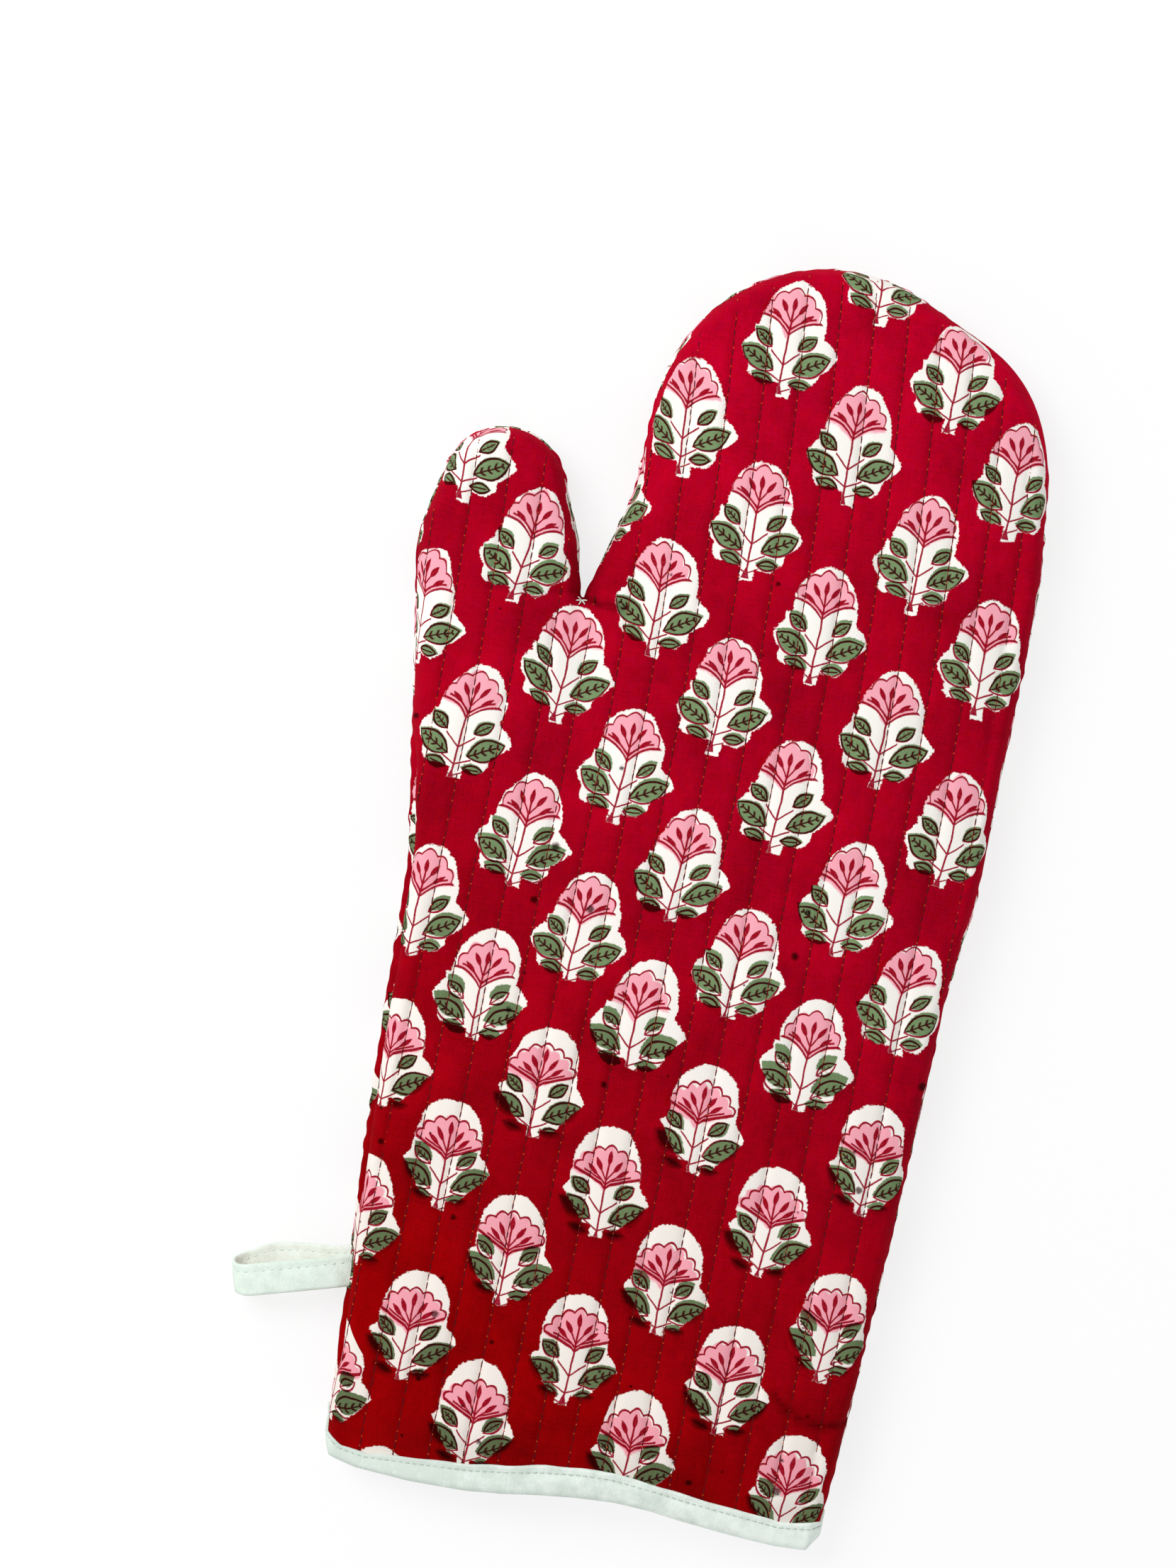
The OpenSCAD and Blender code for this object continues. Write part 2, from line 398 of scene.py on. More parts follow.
def leafGroup():
    # The leaf nearest a place: along and across it from -1 to 1, half its width, and how far inside
    tree = bpy.data.node_groups.new("Printed leaves", "ShaderNodeTree")
    for name, kind, way in (("Place", "NodeSocketVector", "INPUT"), ("Leaf", "NodeSocketVector", "OUTPUT"),
                            ("Inside", "NodeSocketFloat", "OUTPUT")):
        tree.interface.new_socket(name=name, in_out=way, socket_type=kind)
    place = tree.nodes.new("NodeGroupInput").outputs["Place"]
    best, deepest = None, None
    for x, y, halfLong, halfWide, turned in buti["leaves"]:
        leaf = add(tree, "Mapping", place, (x, y, 0), (0, 0, math.radians(turned)),
                   (halfLong, halfWide, 1 / halfWide), vector_type="TEXTURE")
        split = xyz(tree, leaf)
        made = formulas(tree, "deep = 1 - along * along - abs(across)", along=split["X"],
                        across=split["Y"])["deep"]
        if best is None:
            best, deepest = leaf, made
        else:
            nearer = add(tree, "Math", made, deepest, operation="GREATER_THAN")
            best = add(tree, "MixRGB", nearer, best, leaf)
            deepest = add(tree, "Math", made, deepest, operation="MAXIMUM")
    end = tree.nodes.new("NodeGroupOutput")
    tree.links.new(best, end.inputs["Leaf"])
    tree.links.new(deepest, end.inputs["Inside"])
    return tree


def printedCotton():
    # Cotton poplin, hand block printed with pigment in four blocks: the eye sees inks that don't quite
    # meet, a cloudy red ground with ragged edges round the motifs, and the plain weave
    material, tree, shader = newMaterial("Cotton poplin, hand block printed", 0.9, 0.02)
    one, two, spot = (add(tree, "Attribute", attribute_name=name).node.outputs["Vector"]
                      for name in ("one", "two", "spot"))
    oneXYZ, twoXYZ = xyz(tree, one), xyz(tree, two)
    place = add(tree, "VectorMath", spot, (1, 1, 0), operation="MULTIPLY")
    spotXYZ = xyz(tree, spot)
    # cells of the half-drop repeat: the nearer of the two kinds of row
    cell = formulas(tree, """
i = round(u / across)
j = round(v / up)
dx = u - i * across
dy = v - j * up
iTwo = round(uTwo / across)
jTwo = round(vTwo / up)
dxTwo = uTwo - iTwo * across
dyTwo = vTwo - jTwo * up
other = (dxTwo * dxTwo + dyTwo * dyTwo) < (dx * dx + dy * dy)
x = dx + (dxTwo - dx) * other
y = dy + (dyTwo - dy) * other
row = j + (jTwo - j) * other
drop = down + (downTwo - down) * other
idX = i + (iTwo + 37 - i) * other
idY = row + 11 * other
early = clamp(late - row)
short = clamp(late + 1.5 - row)
""", u=oneXYZ["X"], v=oneXYZ["Y"], down=oneXYZ["Z"], uTwo=twoXYZ["X"], vTwo=twoXYZ["Y"], downTwo=twoXYZ["Z"],
                    across=buti["across"], up=buti["up"], late=float(buti["late"]))
    number = add(tree, "CombineXYZ", cell["idX"], cell["idY"], 0.0)
    chance = add(tree, "TexWhiteNoise", number, noise_dimensions="2D").node.outputs["Color"]
    chances = xyz(tree, chance)
    moreChance = add(tree, "TexWhiteNoise", add(tree, "VectorMath", number, (7.3, 3.1, 0), operation="ADD"),
                     noise_dimensions="2D").node.outputs["Color"]
    moreChances = xyz(tree, moreChance)
    # ink edges wander with the grain of the cloth
    rough = add(tree, "TexNoise", place, Scale=1.3, Detail=3.0, Roughness=0.6).node.outputs["Color"]
    rough = xyz(tree, add(tree, "VectorMath", rough, (0.5, 0.5, 0.5), operation="SUBTRACT"))
    coarse = add(tree, "TexNoise", place, Scale=0.16, Detail=2.0).node.outputs["Color"]
    coarse = xyz(tree, add(tree, "VectorMath", coarse, (0.5, 0.5, 0.5), operation="SUBTRACT"))
    moved = formulas(tree, """
a = (c1 - 0.5)
b = (c2 - 0.5)
c = (c3 - 0.5)
d = (c4 - 0.5)
e = (c5 - 0.5)
wx = x + r1 * 1.5 + k2 * 2.2 - a * 1.2
wy = y + r2 * 1.5 + k1 * 2.2 - b * 0.9
lx = x + k1 * 0.8 - c * 0.8 + r1 * 0.2
ly = y + k2 * 0.8 - d * 0.8 + r2 * 0.2 + early * 2.3 + drop
px = lx + 0.2 + e * 0.9 + early * 0.4 + r1 * 0.5
py = ly + 0.1 + a * 0.9 + r2 * 0.5 + early * 0.3
gx = lx + b * 0.7 + early * (-0.1 + c * 1.2) + r1 * 0.4
gy = ly + e * 0.7 - early * (0.8 + d * 1.2) - drop * 0.5 + r2 * 0.4
""", x=cell["x"], y=cell["y"], early=cell["early"], drop=cell["drop"], r1=rough["X"], r2=rough["Y"],
                     k1=coarse["X"], k2=coarse["Y"], c1=chances["X"], c2=chances["Y"], c3=chances["Z"],
                     c4=moreChances["X"], c5=moreChances["Y"])
    # the white ground: an arch over the flower, an ear at each side, and a foot
    white = formulas(tree, """
ax = abs(x - 0.9 + early * 0.8) / (8.9 + early * 0.3)
ay = abs(y - 4.4) / (13.2 - early * 0.5)
power = 1.95 + early * 0.2
arch = (1 - (ax ** power + ay ** power) ** (1 / power)) * 9
tall = 1 - early
right = (1 - (abs(x - 9.0 + early * 0.9) / (5.0 - early * 0.4)) ** 1.3 - (abs(y + 1.4) / 4.9) ** 1.3) * 3.2
leftX = abs(x + 7.7 - early * 0.5) / (3.6 + tall * 0.5)
leftY = abs(y + 1.6 + tall * 0.6) / (3.4 + tall * 1.4)
left = (1 - leftX ** 1.5 - leftY ** 1.5) * 2.6
sides = 9.0 + tall * 0.7 - abs(x - 0.8 + tall * 0.7) - abs(y + 3) * 0.06
trunk = min(sides, y + 9.9 + tall * 0.8 + 0.08 * x, 4 - y)
corner = 9.1 - abs(x) * 0.5 + y * 0.5
vee = (y + 13.9) * 0.61 - (abs(x - 1.2) - 1.8) * 0.79
body = min(max(right, left, trunk), vee + (1 - early) * 4, corner + early * 9)
foot = min(2.0 - abs(x - 0.9 + early * 0.3) + y * 0.02, y + 14.4 - short * 1.6, -y - 5)
all = max(arch, body, foot)
edge = clamp(all / 0.2 + 0.5)
""", x=moved["wx"], y=moved["wy"], early=cell["early"], short=cell["short"])["edge"]
    # the flower: a scalloped fan with a fold along its wings, and veins off the stem that end in a drop
    flower = """
up = y - 2.3 - early * 0.3
aside = abs(x)
tall = 1.0 - early
radius = sqrt(x * x + up * up)
angle = atan2(x, up)
turned = abs(angle) / 1.12
lobe = abs(cos(angle * 9.6))
rim = 14.3 - early * 3.4 - (6.1 - early * 4.8) * turned ** (1.25 - early * 0.25) + 1.1 * lobe
wing = 1.9 + 4.6 * (1 - (1 - clamp(aside / 8.4)) ** 2.3)
low = tall * wing + early * min(aside, 0.7 + 0.42 * aside)
inFan = min(rim - radius, (up - low) * 0.75)
"""
    pink = formulas(tree, flower + """
soft = inFan + 0.35 + blot * 2.2
ink = clamp(soft / 0.5)
""", x=moved["px"], y=moved["py"], early=cell["early"], blot=coarse["Z"])
    lines = formulas(tree, flower + """
outline = 0.27 + early * 0.06 - abs(inFan - 0.1)
fold = min(0.24 - abs(up - low - 1.3 + early * 0.2) * 0.8, 6.4 - aside)
high = up - 5.4 + early * 3.2
off = abs(aside * 0.857 - high * 0.515)
far = aside * 0.515 + high * 0.857
steep = min(max(0.22 - off, 0.68 - off - (far - 4.9) ** 2 * 0.15), far, 6.9 - far)
high = high + 1.7 - early * 0.8
off = abs(aside * 0.656 - high * 0.755)
far = aside * 0.755 + high * 0.656
flat = min(max(0.22 - off, 0.64 - off - (far - 5.3) ** 2 * 0.14), far, 7.3 - far)
middle = 0.68 - aside - (up - 10.4 + early * 2) ** 2 * 0.15
foot = y - early * 2.8 - drop
stem = min(0.28 - abs(x), foot + 12.6, 10.4 - early * 1.8 - up)
base = min((-foot - 11) * 0.3 + 0.2 - abs(x + 0.1), foot + 14.0, -foot - 11)
twigOne = min(0.23 - abs(y + 3.9 - 0.95 * abs(x)) * 0.72, 3.9 - abs(x))
twigTwo = min(0.22 - abs(y + 8.6 - 0.55 * abs(x)) * 0.85, 4.2 - abs(x))
twigThree = min(0.2 - abs(y + 11.6 - 0.5 * abs(x)) * 0.88, 3.0 - abs(x))
drawn = max(outline, fold, steep, flat, middle, stem, base, twigOne, twigTwo, twigThree)
""", x=moved["lx"], y=moved["ly"], early=cell["early"], drop=cell["drop"])["drawn"]
    leaves = leafGroup()
    linePlace = add(tree, "CombineXYZ", moved["lx"], moved["ly"], 1.0)
    greenPlace = add(tree, "CombineXYZ", moved["gx"], moved["gy"], 1.0)
    found = []
    for spotSocket in (linePlace, greenPlace):
        node = tree.nodes.new("ShaderNodeGroup")
        node.node_tree = leaves
        tree.links.new(spotSocket, node.inputs["Place"])
        found.append(node.outputs)
    leafXYZ = xyz(tree, found[0]["Leaf"])
    greenXYZ = xyz(tree, found[1]["Leaf"])
    leafLines = formulas(tree, """
depth = deep * wide
edge = 0.31 - abs(depth - 0.14)
rib = min(0.2 - abs(across) * wide, depth, 0.6 - along)
side = along * 2.5 - abs(across) * 1.1
veins = min(0.15 - abs(fract(side) - 0.5) * 0.9, depth - 0.8, 1.15 - abs(across) * wide, wide - 1.62)
drawn = max(edge, rib, veins, other)
ink = clamp(drawn / 0.16 + 0.5)
""", deep=found[0]["Inside"], along=leafXYZ["X"], across=leafXYZ["Y"], wide=leafXYZ["Z"], other=lines)["ink"]
    # where the green misses the white ground it spreads and fades into the red
    green = formulas(tree, """
ink = clamp((deep * wide + 0.42 + blot * 0.6) / (0.3 + 1.3 * early * (1 - white)))
""", deep=found[1]["Inside"], wide=greenXYZ["Z"], blot=rough["Z"], early=cell["early"], white=white)["ink"]
    # the inks lie over each other and over the cloth
    cloudy = add(tree, "TexNoise", spot, Scale=0.045, Detail=3.0, Roughness=0.6)
    patchy = add(tree, "TexNoise", spot, Scale=0.5, Detail=4.0, Roughness=0.7)
    grain = add(tree, "TexNoise", place, Scale=2.2, Detail=2.0)
    warp, weft = (add(tree, "TexNoise", add(tree, "VectorMath", place, way, operation="MULTIPLY"), Scale=1.0,
                      Detail=2.0) for way in ((2.6, 0.22, 1), (0.22, 2.6, 1)))
    # high paints light onto the print towards the fingertips, and low paints shade towards the cuff and the
    # thumb's side
    tone = formulas(tree, """
high = clamp((y - 250) / 60)
low = clamp((175 - y - x * 0.5) / 150)
blue = clamp(patchy * 2.4 - 0.7)
cloud = (cloudy - 0.5) * 1.6
fibre = (grain - 0.5)
threads = (warp + weft - 1) * 0.5
redTone = 1 + cloud * 0.7 + fibre * 0.5 + threads
greenTone = 1 + cloud * 0.3 + fibre * 0.4 + threads * 0.5
lineInk = ink * clamp(1.0 + fibre * 0.35) * (0.2 + 0.8 * white)
""", x=spotXYZ["X"], y=spotXYZ["Y"], patchy=patchy, cloudy=cloudy, grain=grain, warp=warp, weft=weft,
                    ink=leafLines, white=white)
    # painted light towards the fingertips and painted shade towards the cuff, on the red, the cloth and the
    # green
    red = add(tree, "MixRGB", tone["high"], linear(inks["red"]), linear(inks["redPaintedLight"]))
    red = add(tree, "MixRGB", tone["low"], red, linear(inks["redPaintedShade"]))
    red = add(tree, "MixRGB", tone["blue"], red, (1.0, 1.0, 2.1, 1.0), blend_type="MULTIPLY")
    red = add(tree, "VectorMath", red, tone["redTone"], operation="SCALE")
    cloth = add(tree, "MixRGB", tone["low"], linear(inks["cloth"]), linear(inks["clothPaintedShade"]))
    colour = add(tree, "MixRGB", white, red, cloth)
    colour = add(tree, "MixRGB", pink["ink"], colour, linear(inks["pink"]), blend_type="MULTIPLY")
    greenInk = add(tree, "MixRGB", tone["low"], linear(inks["green"]), linear(inks["greenPaintedShade"]))
    greenInk = add(tree, "VectorMath", greenInk, tone["greenTone"], operation="SCALE")
    colour = add(tree, "MixRGB", green, colour, greenInk, blend_type="MULTIPLY")
    colour = add(tree, "MixRGB", tone["lineInk"], colour, linear(inks["line"]), blend_type="MULTIPLY")
    onGreen = formulas(tree, "deeper = line * green * 0.45", line=tone["lineInk"], green=green)["deeper"]
    colour = add(tree, "MixRGB", onGreen, colour, linear(inks["overlap"]))
    # a few drops of dark ink, fewer towards the fingertips
    drops = add(tree, "TexVoronoi", place, voronoi_dimensions="2D", Scale=0.07, Randomness=1.0)
    pick = xyz(tree, drops.node.outputs["Color"])
    speck = formulas(tree, """
size = 0.4 + b * b * 1.3
near = size - far / 0.07 + ripple * 1.2
ink = clamp(near / (0.2 + b * 0.6)) * (a > 0.42 + y * 0.0022) * 0.88
""", a=pick["X"], b=pick["Y"], far=drops, y=spotXYZ["Y"], ripple=rough["X"])["ink"]
    colour = add(tree, "MixRGB", speck, colour, linear(inks["speck"]), blend_type="MULTIPLY")
    # painted shade: the print is darkened along the creases, where shade falls in them
    fold = add(tree, "Attribute", attribute_name="fold").node.outputs["Fac"]
    creaseShade = formulas(tree, "left = 1 - 0.55 * fold * clamp(0.6 + grain)", fold=fold, grain=grain)["left"]
    colour = add(tree, "VectorMath", colour, creaseShade, operation="SCALE")
    tree.links.new(colour, shader.inputs["Base Color"])
    tree.links.new(weaveBump(tree, spotXYZ["X"], spotXYZ["Y"], 0.55, 0.4), shader.inputs["Normal"])
    return material


printCotton = printedCotton()
# lean paints light onto the binding: lighter towards the right
bindingCotton = plainCotton("Cotton cambric binding, woven", "#f4fef7", "#dae6dd", 0.5, lean=0.009)
loopCotton = plainCotton("Cotton tape, woven and folded", "#f1fdf4", "#ddecdf", 0.5, 0.6, 0.2)
# a greyer, beiger copy of the tape for the inside of the loop: painted shade
shadedInsideCotton = plainCotton("Cotton tape, inside with painted shade", "#f2f7f0", "#e3e6da", 0.5, 0.6, 0.2)
liningCotton = plainCotton("Cotton calico lining, woven", "#efe9dc", "#ddd5c5", 0.7, 0.6, 0.1)
waddingCotton = cottonWadding("Cotton wadding, needled", "#f1efe6", "#d8d4c8")
maroonThread = sewingThread("Sewing thread, dyed maroon", "#6c0e16", "#480a0c")
orangeThread = sewingThread("Sewing thread, dyed orange", "#d4602c", "#b0441c")
redThread = sewingThread("Sewing thread, dyed red", "#a5142a", "#7d0a1c")
whiteThread = sewingThread("Sewing thread, pale grey green", "#d2ded4", "#b4c2b7")
tapeThread = sewingThread("Sewing thread, pale green", "#e6f3e9", "#cbdccf")


def panelLayout(depths, spacing, columns):
    # Points in rings along the edge at these depths, then a filling of columns that follow the rows.
    # In what it gives, near is the nearest point of fineEdge and count is how many points a ring has.
    spots, inward = edgePoints(spacing, depths[-1])
    count = len(spots)
    rings = np.concatenate([spots + inward * depth for depth in depths])
    faces = gridFaces(len(depths), count)
    ys = np.arange(0, mitt["length"], spacing)
    fill = np.array([(rowX(k, y) + c, y) for y in ys for k in range(-12, 9) for c in columns])
    gap = inside(*fill.T)[0]
    within = (outside(*fill.T) < 0) & (gap > depths[-1] + 0.5 * spacing)
    left, right = rings[-count][0] + 0.5 * spacing, rings[-1][0] - 0.5 * spacing
    within |= (fill[:, 1] == 0) & (fill[:, 0] > left) & (fill[:, 0] < right)
    fill = fill[within]
    bottom = np.flatnonzero(fill[:, 1] == 0)
    bottom = bottom[np.argsort(-fill[bottom, 0])]  # from right to left
    seed = np.concatenate([rings[-count:], fill])
    loop = list(range(count)) + [count + i for i in bottom]
    made = delaunay_2d_cdt([Vector(p) for p in seed.tolist()], [], [loop], 1, 1e-4)
    home = {i: given[0] for i, given in enumerate(made[3]) if given}
    start = len(rings) - count
    faces += [tuple(start + home[i] for i in face) for face in made[2] if all(i in home for i in face)]
    points = np.concatenate([rings, fill])
    depth, near = inside(*points.T)
    depth[:len(rings)] = np.repeat(depths, count)
    near[:len(rings)] = np.tile(inside(*spots.T)[1], len(depths))
    # every face looks up
    faces = [face if turning(points, face) > 0 else face[::-1] for face in faces]
    return {"x": points[:, 0], "y": points[:, 1], "depth": depth, "near": near, "faces": faces,
            "count": count, "rings": len(depths), "inward": inward, "spots": spots}


def turning(points, face):
    (ax, ay), (bx, by), (cx, cy) = (points[face[i]] for i in (0, 1, 2))
    return (bx - ax) * (cy - ay) - (by - ay) * (cx - ax)


seam = {
    "depth": 0.4,  # how far inside the outline it lies
    "shows": 1.5,  # how much further in where the back panel shows beside it
    "lift": 1.3,  # how much higher it lies there
    "spans": [(16, 28, 44, 56), (58, 70, 182, 196)],  # where on the left: from, fully from, fully to, to
    "tip": (51, 319),  # where the mitt is fuller, at the little finger's side of the tip
    "fuller": 1.4,
    "tipWidth": 17,
    "pucker": 0.35,
    "puckerSize": 7,
    "groove": (0.45, 0.25),  # how much further in and how much lower the bottom of its groove lies
    "stitch": 1.9,
    "stitchPitch": 2.5,
    "thread": 0.4,
}


def seamAlong(near):  # how far in the seam lies and how high, at these points of fineEdge
    x, y = fineEdge[near].T
    left = (near < len(fineEdge) / 2) & (y < 200)
    shown = 0
    for begin, whole, end, gone in seam["spans"]:
        shown = shown + smooth(y, begin, whole) * (1 - smooth(y, end, gone))
    run = near * outline["step"]
    shown = np.where(left, shown, 0.1 * (1 + ripples(run, 0, 60, 3)))
    tipX, tipY = seam["tip"]
    full = seam["fuller"] * np.exp(-((x - tipX) ** 2 + (y - tipY) ** 2) / seam["tipWidth"] ** 2)
    depth = seam["depth"] + seam["shows"] * shown * (1 + 0.15 * ripples(run, 0, 22, 4)) - full
    return depth, mitt["seamHeight"] + seam["lift"] * shown


creases = {  # each a line of points, its depth and its width
    "crotch": ([(-51, 238), (-46, 236.2), (-39, 236.5)], 2.0, 1.2),
    "thumbRoot": ([(-53, 238.5), (-62, 236), (-76, 235)], 0.6, 1.6),
    "palmCorner": ([(46, 39), (50, 36), (55, 34), (61, 33.3), (68, 35)], 1.7, 1.3),
}


def creased(x, y, spread=None):  # how far the creases press the front down, or half that with this spread
    total = 0 * x
    for points, depth, width in creases.values():
        spots = np.array(points, float)
        reach = np.full(x.shape, 1e9)
        for a, b in zip(spots[:-1], spots[1:]):
            t = np.clip(((x - a[0]) * (b - a)[0] + (y - a[1]) * (b - a)[1]) / ((b - a) ** 2).sum(), 0, 1)
            reach = np.minimum(reach, np.hypot(x - a[0] - t * (b - a)[0], y - a[1] - t * (b - a)[1]))
        if spread:
            depth, width = depth / 2, spread
        total = total + depth * np.exp(-(reach / width) ** 2)
    return total


def puffed(x, y, height, width):  # swell between the rows, pulled in at each stitch
    beside = np.abs(fromRow(x, y))
    pull = 0.5 + 0.5 * np.cos(2 * math.pi * y / quilting["stitchPitch"])
    full = 1 - np.exp(-(quilting["pitch"] / 2 / width) ** 1.3)
    swell = (1 - np.exp(-(beside / width) ** 1.3)) / full
    return height * (swell + 0.1 * pull * np.exp(-(beside / 0.9) ** 2))


def frontHeight(x, y, depth, near, quilted=1.0):
    seamIn, seamUp = seamAlong(near)
    turned = np.clip((depth - seamIn) / mitt["edgeRadius"], 0, 1)
    seamUp = mitt["seamHeight"] + (seamUp - mitt["seamHeight"]) * (1 - smooth(depth, 0, 9))
    edge = seamUp + mitt["edgeHeight"] * np.sqrt(1 - (1 - turned) ** 2)
    swell = []
    for name, rise in (("hand", mitt["rise"]), ("thumb", mitt["thumbRise"])):
        share = np.clip(part(x, y, name)[1], 0, 1)
        swell.append((rise - mitt["edgeHeight"]) * (1 - share ** mitt["bow"]) ** (1.6 / mitt["bow"]))
    top = edge + larger(*swell, 2.5) * smooth(depth, 0, 3)
    bound = smooth(y, 7, 16)  # flatter under the binding
    loose = smooth(depth, 1, 7)
    puff = puffed(x, y, quilting["puff"] * (0.25 + 0.75 * bound), quilting["width"]) - quilting["puff"]
    puff = puff * (1 + 0.22 * ripples(x, y, 42, 11))
    uneven = 0.55 * ripples(x, y, 75, 12) + 0.28 * ripples(x, y * 0.7, 22, 13) * bound
    height = top + quilted * loose * puff + loose * uneven - creased(x, y) * smooth(depth, 0.3, 2)
    return height - mitt["cuffPress"] * (1 - smooth(y, 8, 14))


def backHeight(x, y, depth, quilted=1.0):  # underside, pressed flat where it rests
    rest = mitt["underside"] * (1 - smooth(depth, mitt["band"], 15))
    channel = quilting["backPuff"] - puffed(x, y, quilting["backPuff"], quilting["width"])
    uneven = 0.25 * (1 + ripples(x, y, 55, 14)) * smooth(depth, 2, 12)
    quilt = quilted * smooth(depth, 4, 9) * np.maximum(channel, 0)
    return rest + quilt + uneven + mitt["cuffPress"] * (1 - smooth(y, 8, 14))


hem = {  # where the binding's lower and upper edges lie on the front, as x and y
    "lower": [(-69.8, -0.5), (-68, -3.6), (-60, -5), (-45, -5), (-30, -4), (-20, -2.5), (-10, -0.5), (0, 1),
              (10, 1.8), (20, 1.5), (30, 0.5), (45, -0.5), (55, -1), (64, -0.5), (66, 1.5)],
    "upper": [(-69, 1.5), (-65, -1), (-58, -1.5), (-45, 0.5), (-30, 2.5), (-20, 4.5), (-10, 7), (0, 8.5),
              (8, 9), (20, 8), (30, 7), (45, 6), (55, 5), (65, 6.5)],
    "back": [(-69.8, 0.5), (-50, -1), (0, 0), (50, 0), (66.5, 2)],
    "width": 8.0,  # of the binding
    "fade": 45.0,  # how far up the cloth follows the edge
}


def shapeHem(points):  # the cuff's wavy edge: the binding dips where less of it shows
    points = np.array(points, float)
    x, y, z = points.T
    lower, upper, back = (np.interp(x, *np.array(hem[name], float).T) for name in ("lower", "upper", "back"))
    width = hem["width"]
    shown = np.clip(upper - lower, 2, width)
    front = smooth(z, 8.0, 12.0)
    t = np.clip(y / width, 0, 1)
    away = 1 - smooth(y, width, hem["fade"])
    shift = np.where(y < width, lower + (upper - width - lower) * t, (upper - width) * away)
    points[:, 1] += front * shift + (1 - front) * back * away
    dip = 0.62 * np.sqrt(width ** 2 - shown ** 2) / 17
    points[:, 2] *= 1 - dip * (1 - smooth(y, -2, 14)) * (1 - 0.5 * (1 - front))
    return points


# Where the blocks were put down: the middle of each motif's white ground, as x and y, in two sets of
# columns, from the cuff upwards
motifs = {
    "one": [
        [(-71.5, 16.5), (-30.5, 15.5), (12.6, 16.5), (56.5, 14)],
        [(-73, 63), (-30.9, 61.1), (11.9, 62.1), (58, 59)],
        [(-74, 105.5), (-32.8, 106.9), (11.5, 106.5), (59.1, 105)],
        [(-74.5, 147.5), (-31.4, 149.8), (12.6, 149.3), (57.5, 149.4)],
        [(-73.1, 196.9), (-28.3, 194.8), (14.8, 195.9), (61.5, 196.6)],
        [(-66.3, 247), (-28.9, 241), (14.7, 243.1), (59.4, 244.1)],
        [(-64, 295), (-32.7, 290.1), (12.1, 291.7), (58, 291.7)],
        [(-64, 343), (-37.5, 345), (11.5, 341), (56, 341)]],
    "two": [
        [(-96, -14.5), (-53, -14.5), (-9, -13.5), (34, -14)],
        [(-96, 35), (-52.1, 35.1), (-7.9, 39.2), (33.8, 39.4)],
        [(-97, 82), (-52.4, 81.8), (-9.4, 84.2), (36.2, 82.8)],
        [(-98, 128.5), (-53.6, 128.7), (-11.1, 130.2), (36, 129)],
        [(-96, 171), (-51.5, 171.7), (-8, 171.4), (36.4, 172.2)],
        [(-91.5, 226), (-49.6, 217.8), (-6.9, 219.2), (37.9, 219.3)],
        [(-94, 271.5), (-50, 267), (-8.5, 266.4), (36.6, 267.4)],
        [(-88, 316), (-52, 316), (-10.4, 316.2), (36.3, 316.7)]],
    # how much lower the drawing lies on its white ground in each row
    "drop": {"one": [0, 0.1, -0.5, 1.3, 1.0, 1.0, 0.6, 1.0], "two": [0, -0.7, -0.4, 3.5, 1.5, 0.8, 0.9, 2.0]},
    "reach": (15.0, 16.5),  # each motif is true to size within this of its middle
    "middle": (1.4, 1.2),  # of the white ground, in the drawing's own coordinates
    "extra": (4, 0),  # how much further to the right the added last column lies
    "thumbLeft": -51.5,  # the thumb lies to the left of this
    "thumbMoved": 6,  # how far its second set of columns lies to the right, past the cut beside the hand
    "cut": (236, 248),  # where that begins, and from where it is whole
    "backMoved": (9, 31),  # the back has the front's print, mirrored and moved by this
}


def evenLattice(value, middles, reach, pitch):  # true to size near each middle, and the gaps take up the rest
    place = value - middles[0]
    for k, (low, high) in enumerate(zip(middles[:-1], middles[1:])):
        past, gap = value - low, high - low
        between = reach + (pitch - 2 * reach) * np.clip((past - reach) / (gap - 2 * reach), 0, 1)
        near = np.where(past < reach, past, np.where(past > gap - reach, pitch + past - gap, between))
        place = np.where(past > 0, k * pitch + near, place)
    return place


def printPlace(x, y, thumb):  # the print's own coordinates for both sets of columns
    placed = {}
    for key in ("one", "two"):
        rows = np.array(motifs[key], float) - motifs["middle"]
        up, across = (0, buti["up"]), (buti["across"], 0)
        rows = np.concatenate([rows[:1] - up, rows, rows[-1:] + up])
        rows = np.concatenate([rows[:, :1] - across, rows, rows[:, -1:] + across + motifs["extra"]], axis=1)
        columns = [np.interp(y, rows[:, k, 1], rows[:, k, 0]) for k in range(rows.shape[1])]
        heights = [np.interp(x, row[:, 0], row[:, 1]) for row in rows]
        moved = 0
        if key == "two":
            moved = motifs["thumbMoved"] * thumb * smooth(y, *motifs["cut"])
        u = evenLattice(x - moved, columns, motifs["reach"][0], buti["across"])
        v = evenLattice(y, heights, motifs["reach"][1], buti["up"]) - buti["up"]
        knots = np.arange(len(motifs[key]))[:, None] * buti["up"] + (-motifs["reach"][1], motifs["reach"][1])
        placed[key] = np.column_stack([u, v, np.interp(v, knots.ravel(), np.repeat(motifs["drop"][key], 2))])
    return placed


print("front panel")
# Cotton poplin, block printed and quilted: the columns are close beside each quilting row
columns = [0, 0.5, 1.2, 2.2, 3.4, 4.65, -3.4, -2.2, -1.2, -0.5]
edgeSteps = np.array([0.0, 0.012, 0.05, 0.11, 0.19, 0.29, 0.41, 0.54, 0.68, 0.83, 1.0]) * mitt["band"]
layout = panelLayout(edgeSteps, 1.15, columns)
print("layout", len(layout["x"]), "points", len(layout["faces"]), "faces")


